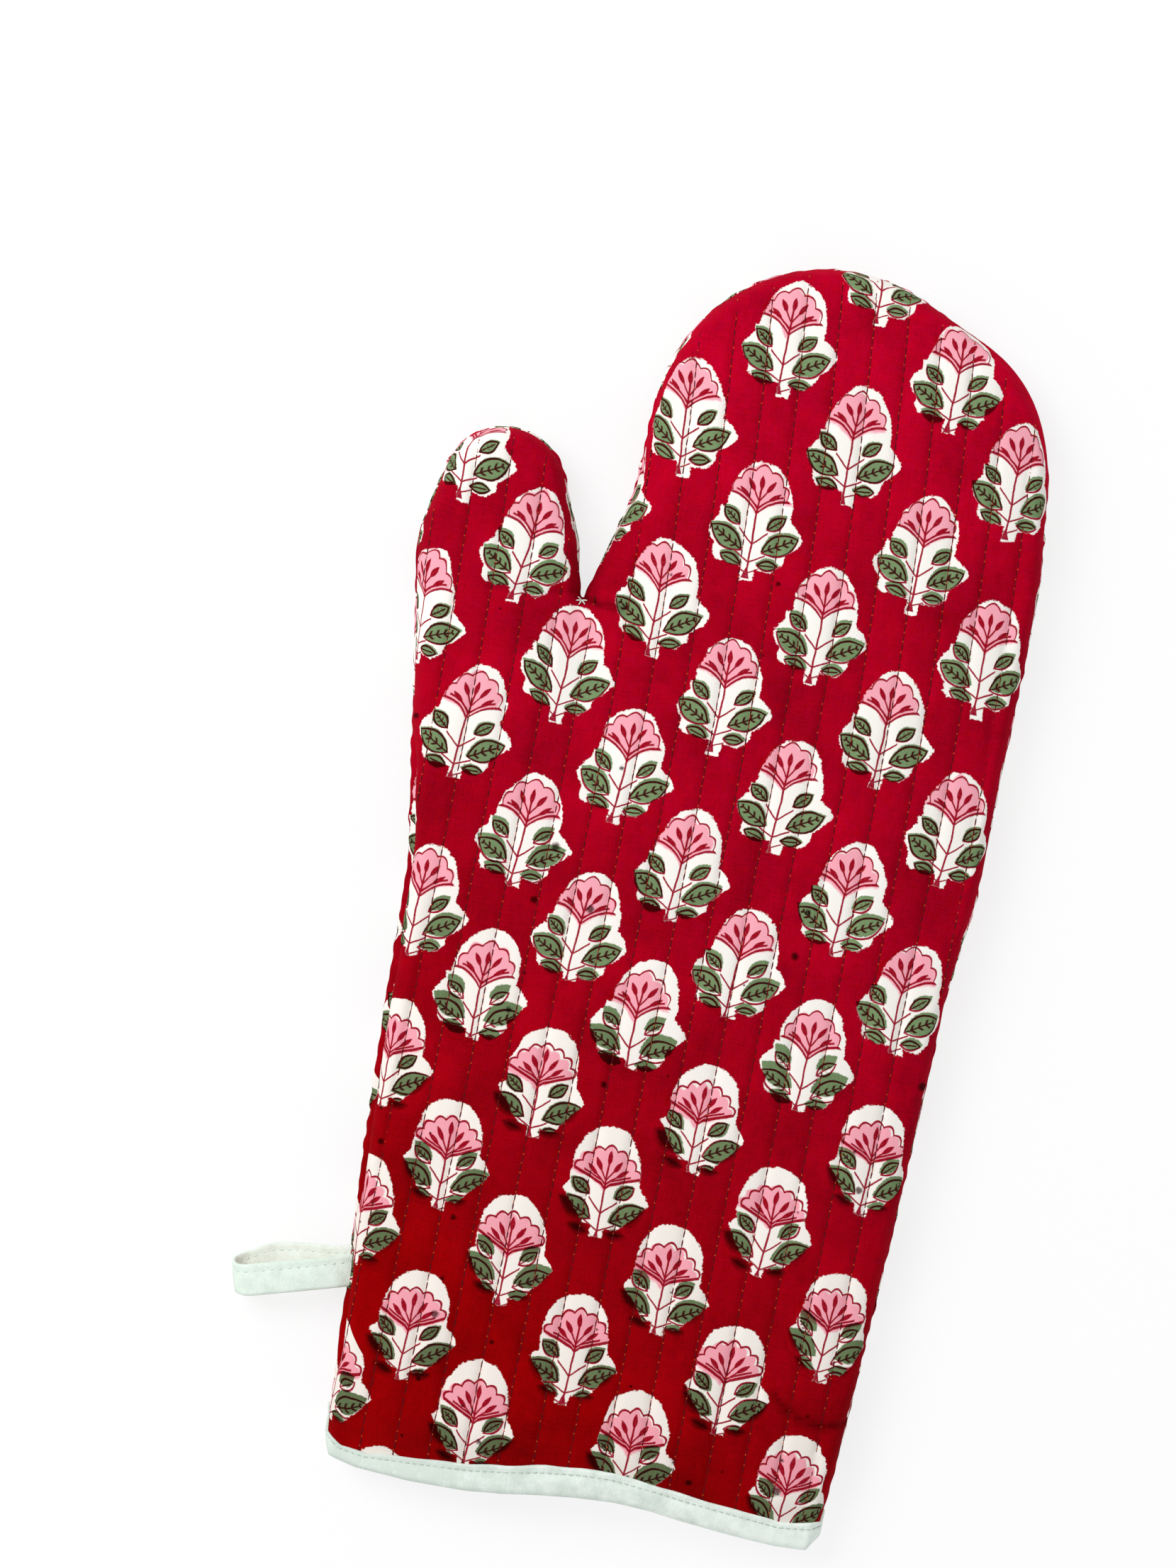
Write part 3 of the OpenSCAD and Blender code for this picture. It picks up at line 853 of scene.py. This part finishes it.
def frontPanel():
    x, y, depth, near = (layout[key].copy() for key in ("x", "y", "depth", "near"))
    count, rings = layout["count"], layout["rings"]
    ring = slice(0, count * rings)
    seamIn = seamAlong(near[ring])[0]
    share = depth[ring] / mitt["band"]
    moved = seamIn + share * (mitt["band"] - seamIn)
    waves = ripples(near[ring] * outline["step"], 0, seam["puckerSize"], 21)
    pucker = seam["pucker"] * waves * np.sin(math.pi * np.clip(share * 1.3, 0, 1))
    inward = np.tile(layout["inward"], (rings, 1))
    spots = np.tile(layout["spots"], (rings, 1))
    place = spots + inward * (moved + pucker)[:, None]
    x[ring], y[ring] = place.T
    y[ring] = np.where(layout["y"][ring] == 0, 0, y[ring])
    depth[ring] = moved
    z = frontHeight(x, y, depth, near)
    valley = slice(0, count)  # the first ring is the bottom of the groove at the seam
    further, lower = seam["groove"]
    x[valley] += inward[valley, 0] * further
    y[valley] += inward[valley, 1] * further
    z[valley] -= lower
    return np.column_stack([x, y, z])


frontPoints = frontPanel()


def unrolled(points, rings):  # ring points measured out from the last ring along the surface
    count = layout["count"]
    flat = points[:, :2].copy()
    last = flat[(rings - 1) * count:rings * count].copy()
    arc = np.zeros(count)
    for j in range(rings - 2, -1, -1):
        here, there = points[j * count:(j + 1) * count], points[(j + 1) * count:(j + 2) * count]
        arc += np.linalg.norm(here - there, axis=1)
        flat[j * count:(j + 1) * count] = last - layout["inward"] * arc[:, None]
    return flat


bake = {  # how each flat layout lies in the unit square that is baked: its size there, and its start
    "front": ((180, 350), (0.6, 0.02)),
    "back": ((190, 360), (0.6, 0.03)),
}
frontShaped = shapeHem(frontPoints)
frontFlat = unrolled(frontShaped, layout["rings"])
placed = printPlace(*frontFlat.T, frontShaped[:, 0] < motifs["thumbLeft"])
# the fold attribute carries painted shade: how much the print is darkened along the creases
folded = creased(*frontPoints[:, :2].T, 0.75)
size, start = bake["front"]
front = makePiece("Quilted_front_panel", frontShaped, layout["faces"], frontFlat / size + start,
                  {**placed, "spot": frontShaped, "fold": folded})
cover(front, printCotton, "printed_cotton", "outer_front")

print("back panel")


def backProfile():  # from the seam round the rolled edge: how far inside the outline, and how high
    seamIn, seamUp = seamAlong(layout["near"][:layout["count"]])
    out, up = np.minimum(np.minimum(0.15, seamIn * 0.2), seamIn), mitt["widest"]
    low = mitt["underside"]
    profile = [(seamIn + seam["groove"][0], seamUp - seam["groove"][1])]
    for angle in np.radians((12, 40, 68)):  # from the seam out to the widest point
        profile.append((out + (seamIn + 0.1 - out) * (1 - math.sin(angle)),
                        seamUp - 0.4 - (seamUp - 0.4 - up) * (1 - math.cos(angle))))
    for angle in np.radians((0, 14, 28, 42, 56, 70, 82)):  # and from there in under the mitt
        profile.append((out + (mitt["band"] - out) * (1 - math.cos(angle)),
                        low + (up - low) * (1 - math.sin(angle))))
    return profile


profile = backProfile()
count = layout["count"]
seamPucker = 0.3 * ripples(layout["near"][:count] * outline["step"], 0, seam["puckerSize"], 22)
rim = []
for j, (away, up) in enumerate(profile):
    bulge = seamPucker * math.sin(math.pi * min(1, j / len(profile)))
    place = layout["spots"] + layout["inward"] * np.broadcast_to(away + bulge, count)[:, None]
    place[0, 1] = place[-1, 1] = 0
    rim.append(np.column_stack([place, np.broadcast_to(up, count)]))
tucked = frontPoints[:count] - (0, 0, 0.05)  # the first ring lies against the front panel's in the seam
tucked[:, :2] += 0.3 * layout["inward"]
rim[0] = tucked
first = (layout["rings"] - 1) * count  # the front panel's last ring, from which the back has the same layout
x, y, depth = (layout[key][first:] for key in ("x", "y", "depth"))
backPoints = np.concatenate(rim + [np.column_stack([x, y, backHeight(x, y, depth)])])
rimCount = len(rim)
shiftBy = rimCount * count - first
backFaces = gridFaces(rimCount + 1, count)
backFaces += [tuple(i + shiftBy for i in face)[::-1] for face in layout["faces"] if min(face) >= first]
backShaped = shapeHem(backPoints)
backFlat = unrolled(backShaped, rimCount + 1)
placed = printPlace(*(backFlat * (-1, 1) + motifs["backMoved"]).T, 0)
size, start = bake["back"]
back = makePiece("Quilted_back_panel", backShaped, backFaces, backFlat / size + start,
                 {**placed, "spot": backShaped})
cover(back, printCotton, "printed_cotton", "outer_back")

print("wadding and lining")
lining = {
    "closes": 5.0,  # how far inside the outline its two halves meet
    "closeHeight": 9.5,
    "turn": 6.0,  # how far they take to open to the full hollow
}
wadding = {
    "cotton": 0.8,  # the outer cloth's thickness above it
    "edge": (0.2, 6.3),  # where its rounded edge begins, and how far it takes
    "press": 2.6,  # how much more than the cloth the creases press it
    "pressWidth": 3.0,
    "thin": (0.8, 0.6),  # its least thickness, front and back
    "meet": 9.9,  # the back's highest
}
innerLayout = panelLayout([lining["closes"], 6.4, 8.5], 2.8, [0, 3.1, -3.1])
padLayout = panelLayout([2.8, 4.6, 6.5, 9.0], 2.6, [0, 2.2, 4.65, -2.2])


def liningHeights(x, y, depth, near):  # heights of the front and back lining
    turned = np.sin(math.pi / 2 * np.clip((depth - lining["closes"]) / lining["turn"], 0, 1))
    top = frontHeight(x, y, depth, near, 0.6) - mitt["wall"]
    low = backHeight(x, y, depth, 0.6) + mitt["wall"]
    closes = lining["closeHeight"]
    return closes + 0.1 + (top - closes - 0.1) * turned, closes - 0.1 + (low - closes + 0.1) * turned


def rounding(depth):  # 0 at the outline and 1 from the inner end of the rolled edge on
    start, width = wadding["edge"]
    return np.sqrt(1 - (1 - np.clip((depth - start) / width, 0, 1)) ** 2)


def edgeLoop(faces):  # the open edge's points, in order
    sides = {(face[i], face[(i + 1) % len(face)]) for face in faces for i in range(len(face))}
    after = {a: b for a, b in sides if (b, a) not in sides}
    first = next(iter(after))
    loop = [first]
    while after[loop[-1]] != first:
        loop.append(after[loop[-1]])
    return loop


def closedPad(top, bottom, faces):
    count, loop = len(top), edgeLoop(faces)
    walls = [(loop[i], loop[i - 1], loop[i - 1] + count, loop[i] + count) for i in range(len(loop))]
    under = [tuple(i + count for i in face)[::-1] for face in faces]
    return np.concatenate([top, bottom]), faces + under + walls


x, y, depth, near = (innerLayout[key] for key in ("x", "y", "depth", "near"))
liningUp, liningDown = liningHeights(x, y, depth, near)
upper = [face[::-1] for face in innerLayout["faces"]]
for side, z, faces in (("front", liningUp, upper), ("back", liningDown, innerLayout["faces"])):
    piece = makePiece(f"Lining_{side}", shapeHem(np.column_stack([x, y, z])), faces)
    cover(piece, liningCotton, "lining_cotton", f"lining_{side}")

x, y, depth, near = (padLayout[key] for key in ("x", "y", "depth", "near"))
liningUp, liningDown = liningHeights(x, y, np.maximum(depth, lining["closes"]), near)
creaseDepth = wadding["press"] * creased(x, y, wadding["pressWidth"])
frontTop = frontHeight(x, y, depth, near, 1.25) - wadding["cotton"] - creaseDepth
frontBottom = np.minimum(liningUp + 0.4, frontTop - wadding["thin"][0])
edgeHigh = mitt["widest"]
backBottom = edgeHigh + (backHeight(x, y, depth) - edgeHigh) * rounding(depth) + wadding["cotton"]
backTop = np.maximum(np.minimum(liningDown - 0.4, wadding["meet"]), backBottom + wadding["thin"][1])
for side, top, bottom in (("front", frontTop, frontBottom), ("back", backTop, backBottom)):
    surfaces = (np.column_stack([x, y, z]) for z in (top, bottom))
    points, faces = closedPad(*surfaces, padLayout["faces"])
    piece = makePiece(f"Wadding_{side}", shapeHem(points), faces)
    cover(piece, waddingCotton, "wadding", f"wadding_{side}")

print("cuff binding")
binding = {
    "step": 0.6,  # between mesh points round the cuff
    "levels": (0, 2, 4, 6, 8),  # heights, evenly apart, at which the cloth under it is measured
    "middle": -2.5,  # between its outside and its inside
    "stitchIn": 6.2,  # height of its stitches above the cuff's edge
    "stitchPitch": 1.9,
    "stitch": 1.35,
    "thread": 0.3,
    "rows": [("outside", 0.5, 1), ("inside", -5.3, -1)],  # how far out its stitches lie, and their way
    # its section from the upper edge outside, round the cuff's edge, to the upper edge inside
    "section": [(-0.1, 8.2), (0.3, 8.35), (0.62, 8.1), (0.75, 7.3), (0.45, 6.2), (0.75, 5.2), (0.85, 3.2),
                (0.8, 1.2), (0.45, -0.1), (-0.6, -0.75), (-2.5, -0.95), (-4.4, -0.75), (-5.3, -0.1),
                (-5.6, 1.2), (-5.65, 3.2), (-5.55, 5.2), (-5.25, 6.2), (-5.55, 7.3), (-5.45, 8.1),
                (-5.15, 8.35), (-4.7, 8.2)],
}
shell = BVHTree.FromPolygons(
    np.concatenate([frontPoints, backPoints]).tolist(),
    [list(face) for face in layout["faces"]] + [[i + len(frontPoints) for i in face] for face in backFaces])


def cuffContour():
    # The outer surface at the cuff as an even closed line of x and z, front first, and its normals
    count = layout["count"]

    def across(points, rings):
        filled = points[rings * count:]
        filled = filled[filled[:, 1] == 0]
        filled = filled[np.argsort(filled[:, 0])]
        left, right = points[:rings * count:count], points[count - 1:rings * count:count]
        return np.concatenate([left, filled, right[::-1]])

    line = np.concatenate([across(frontPoints, layout["rings"]), across(backPoints, rimCount + 1)[::-1]])
    line = np.concatenate([line, line[:1]])[:, [0, 2]]
    run = np.concatenate([[0], np.cumsum(np.hypot(*np.diff(line, axis=0).T))])
    wanted = np.arange(0, run[-1], binding["step"])
    line = softened(resampled(wanted, run, line), 1.6)
    ahead = np.roll(line, -1, axis=0) - np.roll(line, 1, axis=0)
    ahead /= np.hypot(*ahead.T)[:, None]
    return line, np.column_stack([-ahead[:, 1], ahead[:, 0]])


def softened(values, width):  # evened out round a closed line
    reach = int(4 * width / binding["step"])
    shifts = np.arange(-reach, reach + 1)
    weights = np.exp(-0.5 * (shifts * binding["step"] / width) ** 2)
    return sum(np.roll(values, i, axis=0) * w for i, w in zip(shifts, weights / weights.sum()))


contour, contourOut = cuffContour()
contourRun = np.arange(len(contour)) * binding["step"]


def surfaceOut(y):  # how far the cloth lies outside the contour at this height above the cuff's edge
    out, back = np.zeros(len(contour)), 4  # the ray starts this far inside
    for i, ((x, z), (nx, nz)) in enumerate(zip(contour, contourOut)):
        start = Vector((x - back * nx, max(y, 0.05), z - back * nz))
        hit = shell.ray_cast(start, Vector((nx, 0, nz)), 3 * back)
        out[i] = hit[3] - back if hit[3] else 0
    return softened(out, 1.0)


surface = [surfaceOut(y) for y in binding["levels"]]


def bindingPoints(run, out, y):  # points at a distance round the cuff, out from the cloth, above the edge
    x, z, outX, outZ, *levels = (np.interp(run, contourRun, values, period=contourRun[-1] + binding["step"])
                                 for values in (*contour.T, *contourOut.T, *surface))
    t = np.clip(y / binding["levels"][1], 0, 3.999)
    low = int(t)
    away = levels[low] + (levels[low + 1] - levels[low]) * (t - low) + out
    return np.column_stack([x + outX * away, np.full(len(run), float(y)), z + outZ * away])


rows = []
wobble = ripples(contourRun, 0, 14, 31)
for out, up in binding["section"]:
    outer = np.sign(out - binding["middle"])
    pulled = 0.5 + 0.5 * np.cos(2 * math.pi * contourRun / binding["stitchPitch"])
    tight = math.exp(-((up - binding["stitchIn"]) / 0.7) ** 2) * outer
    full = 0.18 * ripples(contourRun, 3 * up, 9, 32) * smooth(up, -1, 1) * outer
    points = bindingPoints(contourRun, out - 0.14 * tight * pulled + full, up)
    points[:, 1] += 0.22 * wobble * smooth(up, 3, 8)
    rows.append(shapeHem(points))
faces = gridFaces(len(rows), len(contour), (False, True), flipped=True)
piece = makePiece("Cuff_binding", np.concatenate(rows), faces)
cover(piece, bindingCotton, "binding_cotton", "cuff_binding")


def sewn(name, starts, ends, ups, radius, sides=6, sink=0.8):
    # Stitches as short threads: round, arched, and drawn into the cloth at both ends
    starts, ends, ups = (np.asarray(v, float).reshape(-1, 3) for v in (starts, ends, ups))
    ahead = ends - starts
    ahead /= np.linalg.norm(ahead, axis=1)[:, None]
    beside = np.cross(ahead, ups)
    beside /= np.linalg.norm(beside, axis=1)[:, None]
    ups = np.cross(beside, ahead)
    points, faces = [], []
    # how far along, how high and how thick, the last two against the radius
    stations = [(0, -1.6, 0.45), (0.1, -0.5, 0.85), (0.3, 0.25, 1), (0.5, 0.35, 1.02), (0.7, 0.25, 1),
                (0.9, -0.5, 0.85), (1, -1.6, 0.45)]
    angles = 2 * math.pi * np.arange(sides) / sides
    for along, lift, thick in stations:
        centre = starts + (ends - starts) * along + ups * (radius * lift * sink)
        ring = np.cos(angles)[None, :, None] * beside[:, None] + np.sin(angles)[None, :, None] * ups[:, None]
        points.append(centre[:, None] + radius * thick * ring)
    points = np.stack(points, 1).reshape(-1, 3)
    size = len(stations) * sides
    for base in range(0, len(points), size):
        faces += gridFaces(len(stations), sides, (False, True), True, base)
        faces.append(tuple(base + i for i in range(sides))[::-1])
        faces.append(tuple(base + size - sides + i for i in range(sides)))
    return makePiece(name, points, faces)


def evenly(total, pitch, long):  # where the stitches of a row begin and end
    starts = np.arange(0.3, total - long, pitch)
    return starts, starts + long


print("thread")
for side, out, turned in binding["rows"]:
    starts, ends = evenly(contourRun[-1], binding["stitchPitch"], binding["stitch"])
    points = [shapeHem(bindingPoints(run, out + 0.1 * turned, binding["stitchIn"])) for run in (starts, ends)]
    near, far = (bindingPoints((starts + ends) / 2, out + more, binding["stitchIn"]) for more in (0, 1))
    piece = sewn("Binding_stitches_" + side, *points, (far - near) * turned, binding["thread"] / 2)
    cover(piece, whiteThread, "binding_thread", "binding_thread")


def quiltStitches(side):
    starts, ends = [], []
    front = side == "front"
    rng = np.random.default_rng(5 if front else 6)
    varyAlong, varyAcross = quilting["vary"]
    for k in range(-12, 9):
        y = np.arange(2.0, mitt["length"] - 1, quilting["stitchPitch"])
        y = y + rng.normal(0, varyAlong, len(y))
        for a, b in zip(y, y + quilting["stitch"]):
            starts.append((rowX(k, a) + rng.normal(0, varyAcross), a))
            ends.append((rowX(k, b) + rng.normal(0, varyAcross), b))
    starts, ends = np.array(starts), np.array(ends)
    clear, proud, above = quilting["clear"], quilting["proud"], quilting["above"][side]
    keep = (outside(*starts.T) < -clear) & (outside(*ends.T) < -clear) & (starts[:, 1] > above)
    lifted = []
    for spots in (starts[keep], ends[keep]):
        gap, near = inside(*spots.T)
        if front:
            z = frontHeight(*spots.T, gap, near) + proud
        else:
            z = backHeight(*spots.T, gap) - proud
            low, high = mitt["underside"], mitt["widest"]
            z = np.where(gap < mitt["band"], low + (high - low) * (1 - rounding(gap)) - proud, z)
        lifted.append(shapeHem(np.column_stack([spots, z])))
    return lifted[0], lifted[1], np.tile([0, 0, 1.0 if front else -1.0], (len(lifted[0]), 1))


bobbin = {
    "share": 0.7,  # of the needle holes that show it
    "vary": 0.05,
    "past": 0.1,  # how far past the end of a stitch its dot lies
    "half": 0.24,  # half a dot's length
    "lift": 0.06,
    "thread": 0.34,
}
for side in ("front", "back"):
    starts, ends, ups = quiltStitches(side)
    piece = sewn(f"Quilting_stitches_{side}", starts, ends, ups, quilting["thread"] / 2)
    cover(piece, maroonThread, "quilting_thread", f"quilting_thread_{side}")
    # the other thread shows as a dot where it comes through a needle hole
    rng = np.random.default_rng(8)
    shown = rng.random(len(starts)) < bobbin["share"]
    aside = rng.normal(0, bobbin["vary"], shown.sum())
    at = ends[shown] + np.column_stack([aside, np.full(len(aside), bobbin["past"]), 0 * aside])
    reach, lift = (0, bobbin["half"], 0), bobbin["lift"] * ups[shown]
    dots = at - reach + lift, at + reach + lift
    piece = sewn(f"Bobbin_thread_{side}", *dots, ups[shown], bobbin["thread"] / 2)
    cover(piece, orangeThread, "quilting_thread")

count = layout["count"]
seamLine = shapeHem(frontPoints[:count])
run = np.concatenate([[0], np.cumsum(np.linalg.norm(np.diff(seamLine, axis=0), axis=1))])
starts, ends = evenly(run[-1], seam["stitchPitch"], seam["stitch"])
where = [resampled(spots, run, seamLine) for spots in (starts, ends)]
outward = -np.column_stack([resampled(starts, run, layout["inward"]), 0 * starts])
piece = sewn("Side_seam_stitches", *where, outward, seam["thread"] / 2)
cover(piece, redThread, "seam_thread", "side_seam_thread")

# loose ends of thread where the seam was locked between thumb and hand
tuft = {
    "at": (-50.8, 236.5, 15.6),
    "long": 1.5,
    "thread": 0.34,
    "ways": [(8, 12), (150, 30), (195, 8), (250, 12), (320, 6)],  # round from the right, and up, in degrees
}
ways = [np.radians(way) for way in tuft["ways"]]
ends = [[math.cos(b) * math.cos(a), math.cos(b) * math.sin(a), math.sin(b)] for a, b in ways]
ends = np.array(tuft["at"]) + tuft["long"] * np.array(ends)
starts = np.tile(tuft["at"], (len(ends), 1)) - (0, 0, 0.3)
ups = np.tile([0.3, 0.2, 1.0], (len(ends), 1))
piece = sewn("Crotch_thread_ends", starts, ends, ups, tuft["thread"] / 2, sink=0.4)
cover(piece, tapeThread, "binding_thread")

print("hanging loop")
loop = {
    "hinge": (-74.4, 45.2),
    "slant": 18.0,  # degrees below level, towards the cuff
    "width": 8.6,
    "tape": 1.1,  # the strip folded in two
    "reach": 30.5,
    "hidden": 3.6,  # inside the seam
    "step": 0.7,
    "low": 0.95,  # heights of its lower and upper halves
    "top": 10.35,
    "bend": 4.75,  # radius of the fold at its far end
    "bow": 4.2,  # how far the lower half lies out of line
    "stitchFrom": 2.0,  # the edge stitching, from the open edge
    "stitch": 1.2,
    "stitchPitch": 2.4,
    "plain": 4,  # length of the band without stitches, both ends together
    "start": 3,  # where the stitches start
    "sides": [("outside", 1), ("inside", -1)],
    "thread": 0.32,
}


def loopPath():  # the band's centre line: how far out, how high, and how far out of line
    path = []
    low, top, hidden, step = (loop[key] for key in ("low", "top", "hidden", "step"))
    far = loop["reach"] - loop["bend"] - loop["tape"] / 2
    for s in np.arange(-hidden, far, step):  # the upper half
        arch = 0.35 * math.sin(math.pi * (s + hidden) / (far + hidden))
        path.append((s, top + arch - 0.6 * (1 - smooth(s, -hidden, 3)), 0.0))
    for angle in np.arange(0, 181, 9.0):  # the fold
        a = math.radians(angle)
        path.append((far + loop["bend"] * math.sin(a), (low + top) / 2 + (top - low) / 2 * math.cos(a),
                     0.65 * loop["bow"] * smooth(angle, 0, 180)))
    for s in np.arange(far - step, -hidden - 0.1, -step):  # the lower half, which rises to the seam
        t = (far - s) / (far + hidden)
        rise = 8.15 * smooth(t, 0.15, 1.0) ** 1.15
        path.append((s, low + rise, loop["bow"] * smooth(t, -0.3, 0.2) * (1 - 0.42 * smooth(t, 0.2, 1))))
    return np.array(path)


ahead = np.array([-math.cos(math.radians(loop["slant"])), -math.sin(math.radians(loop["slant"]))])
aside = np.array([ahead[1], -ahead[0]])  # towards the fingertips
path = loopPath()
run = np.concatenate([[0], np.cumsum(np.hypot(*np.diff(path[:, :2], axis=0).T))])
slope = np.gradient(path[:, :2], axis=0)
slope /= np.hypot(*slope.T)[:, None]
upward = np.column_stack([-slope[:, 1], slope[:, 0]])


def bandPoints(across, thick):  # along the band: across from its middle, and out from its centre line
    out = path[:, :2] + upward * np.reshape(thick, (-1, 1))
    flat = np.array(loop["hinge"]) + out[:, :1] * ahead + (path[:, 2] + across)[:, None] * aside
    return np.column_stack([flat, out[:, 1]])


half = loop["width"] / 2
section = []  # round the folded tape: across from its middle, and 1 on its outside or -1 on its inside
for q in (-half + 0.25, -half + 1.0, -2.0, 0, 1.2, 1.9, half - loop["stitchFrom"], half - 1.5, half - 0.9,
          half - 0.25):
    section.append((q, 1))
section.append((half, 0))
section += [(q, -1) for q, _ in section[:-1][::-1]]
section.append((-half, 0))
bandRows = []
for q, side in section:
    sewnDown = math.exp(-((q - half + loop["stitchFrom"]) / 0.55) ** 2)
    full = loop["tape"] / 2 * (1 - 0.35 * sewnDown) * (1 - 0.25 * abs(q / half) ** 4)
    bump = 0.12 * ripples(run, q * 0.4, 5.5, 41)
    bump = bump + 0.1 * ripples(run, 0, 2.6, 42) * smooth(q, half - 2.4, half)
    frayed = 0.1 * ripples(run, 0, 6.0, 43) * (q > half - 1)
    bandRows.append(bandPoints(np.full(len(path), float(q)) + frayed, side * full + bump))
long = len(path)
band = makePiece("Hanging_loop", np.concatenate(bandRows), gridFaces(len(section), long, (True, False)))
cover(band, loopCotton, "loop_tape", "hanging_loop", body=None)
# the inside of the loop gets the copy of the tape with painted shade
band.data.materials.append(shadedInsideCotton)
for polygon, row in zip(band.data.polygons, np.repeat(np.arange(len(section)), long - 1)):
    polygon.material_index = int(len(section) / 2 <= row < len(section) - 1)
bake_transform(band)
starts, ends = evenly(run[-1] - loop["plain"], loop["stitchPitch"], loop["stitch"])
for side, turned in loop["sides"]:
    line = bandPoints(np.full(len(path), half - loop["stitchFrom"]), turned * loop["tape"] * 0.36)
    where = [resampled(spots + loop["start"], run, line) for spots in (starts, ends)]
    lift = resampled(starts + (loop["start"] + 0.8), run, upward) * turned
    lift = np.column_stack([lift[:, :1] * ahead, lift[:, 1]])
    piece = sewn("Loop_stitches_" + side, *where, lift, loop["thread"] / 2)
    cover(piece, tapeThread, "binding_thread", "loop_thread", body=None)
    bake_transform(piece)

print("floor, light and camera")
scene = bpy.context.scene
scene.view_settings.view_transform = "Standard"
view = {
    "width": 318.75,  # of the picture, in millimetres at the mitt
    "height": 425.0,
    "centre": (-38.4, 188.4),
    "level": 10.5,  # height at which those sizes hold
    "distance": 1100.0,
    "sensor": 36,
    "turn": 12.5,  # the fingertips point this far to the right of straight up
}
cameraData = bpy.data.cameras.new("Camera")
cameraData.sensor_width = view["sensor"]
cameraData.lens = view["sensor"] * view["distance"] / view["height"]
cameraData.clip_start, cameraData.clip_end = 0.01, 20
camera = bpy.data.objects.new("Camera", cameraData)
camera.location = toFrame([*view["centre"], view["level"] + view["distance"]])
camera.rotation_euler = (0, 0, math.radians(view["turn"]))
scene.collection.objects.link(camera)
scene.camera = camera

studio = {
    "floor": 12.0,  # half the floor's width, in metres
    "sky": 0.62,  # strength of the even light from all round
    "key": 14.0,  # watts
    "shadow": 0.22,  # how much of the floor's shading shows to the camera
}
floor = bpy.data.meshes.new("Floor")
corners = [(i * studio["floor"], j * studio["floor"], 0) for i, j in ((-1, -1), (1, -1), (1, 1), (-1, 1))]
floor.from_pydata(corners, [], [(0, 1, 2, 3)])
floorPiece = bpy.data.objects.new("Floor", floor)
floorPiece.location = (0, 0, -0.0003)
scene.collection.objects.link(floorPiece)


def paperFloor():
    # Matt white background paper: it looks plain white, with a pale soft shadow
    material, tree, shader = newMaterial("Background paper, matt white", 1.0, 0)
    shader.inputs["Base Color"].default_value = (0.92, 0.92, 0.92, 1)
    bright = add(tree, "BsdfDiffuse", (1, 1, 1, 1))
    glow = add(tree, "Emission", (1, 1, 1, 1), 1.0)
    seen = add(tree, "MixShader", 1 - studio["shadow"], bright, glow)
    rays = tree.nodes.new("ShaderNodeLightPath").outputs
    direct = formulas(tree, "all = max(camera, glossy, through)", camera=rays["Is Camera Ray"],
                      glossy=rays["Is Glossy Ray"], through=rays["Is Transmission Ray"])["all"]
    whole = add(tree, "MixShader", direct, shader.outputs[0], seen)
    tree.links.new(whole, tree.nodes["Material Output"].inputs["Surface"])
    return material


floor.materials.append(paperFloor())
world = bpy.data.worlds.new("Studio")
world.use_nodes = True
tree = world.node_tree
rays = tree.nodes.new("ShaderNodeLightPath").outputs
strength = formulas(tree, "level = sky + (1 - sky) * max(camera, glossy, through)", sky=studio["sky"],
                    camera=rays["Is Camera Ray"], glossy=rays["Is Glossy Ray"],
                    through=rays["Is Transmission Ray"])["level"]
tree.nodes["Background"].inputs["Color"].default_value = (1, 1, 1, 1)
tree.links.new(strength, tree.nodes["Background"].inputs["Strength"])
scene.world = world
keyData = bpy.data.lights.new("Key", "AREA")
keyData.energy = studio["key"]
keyData.size = 0.9
key = bpy.data.objects.new("Key", keyData)
key.location = (-0.9, 0.45, 1.2)
key.rotation_euler = (-key.location).to_track_quat("-Z", "Y").to_euler()
scene.collection.objects.link(key)
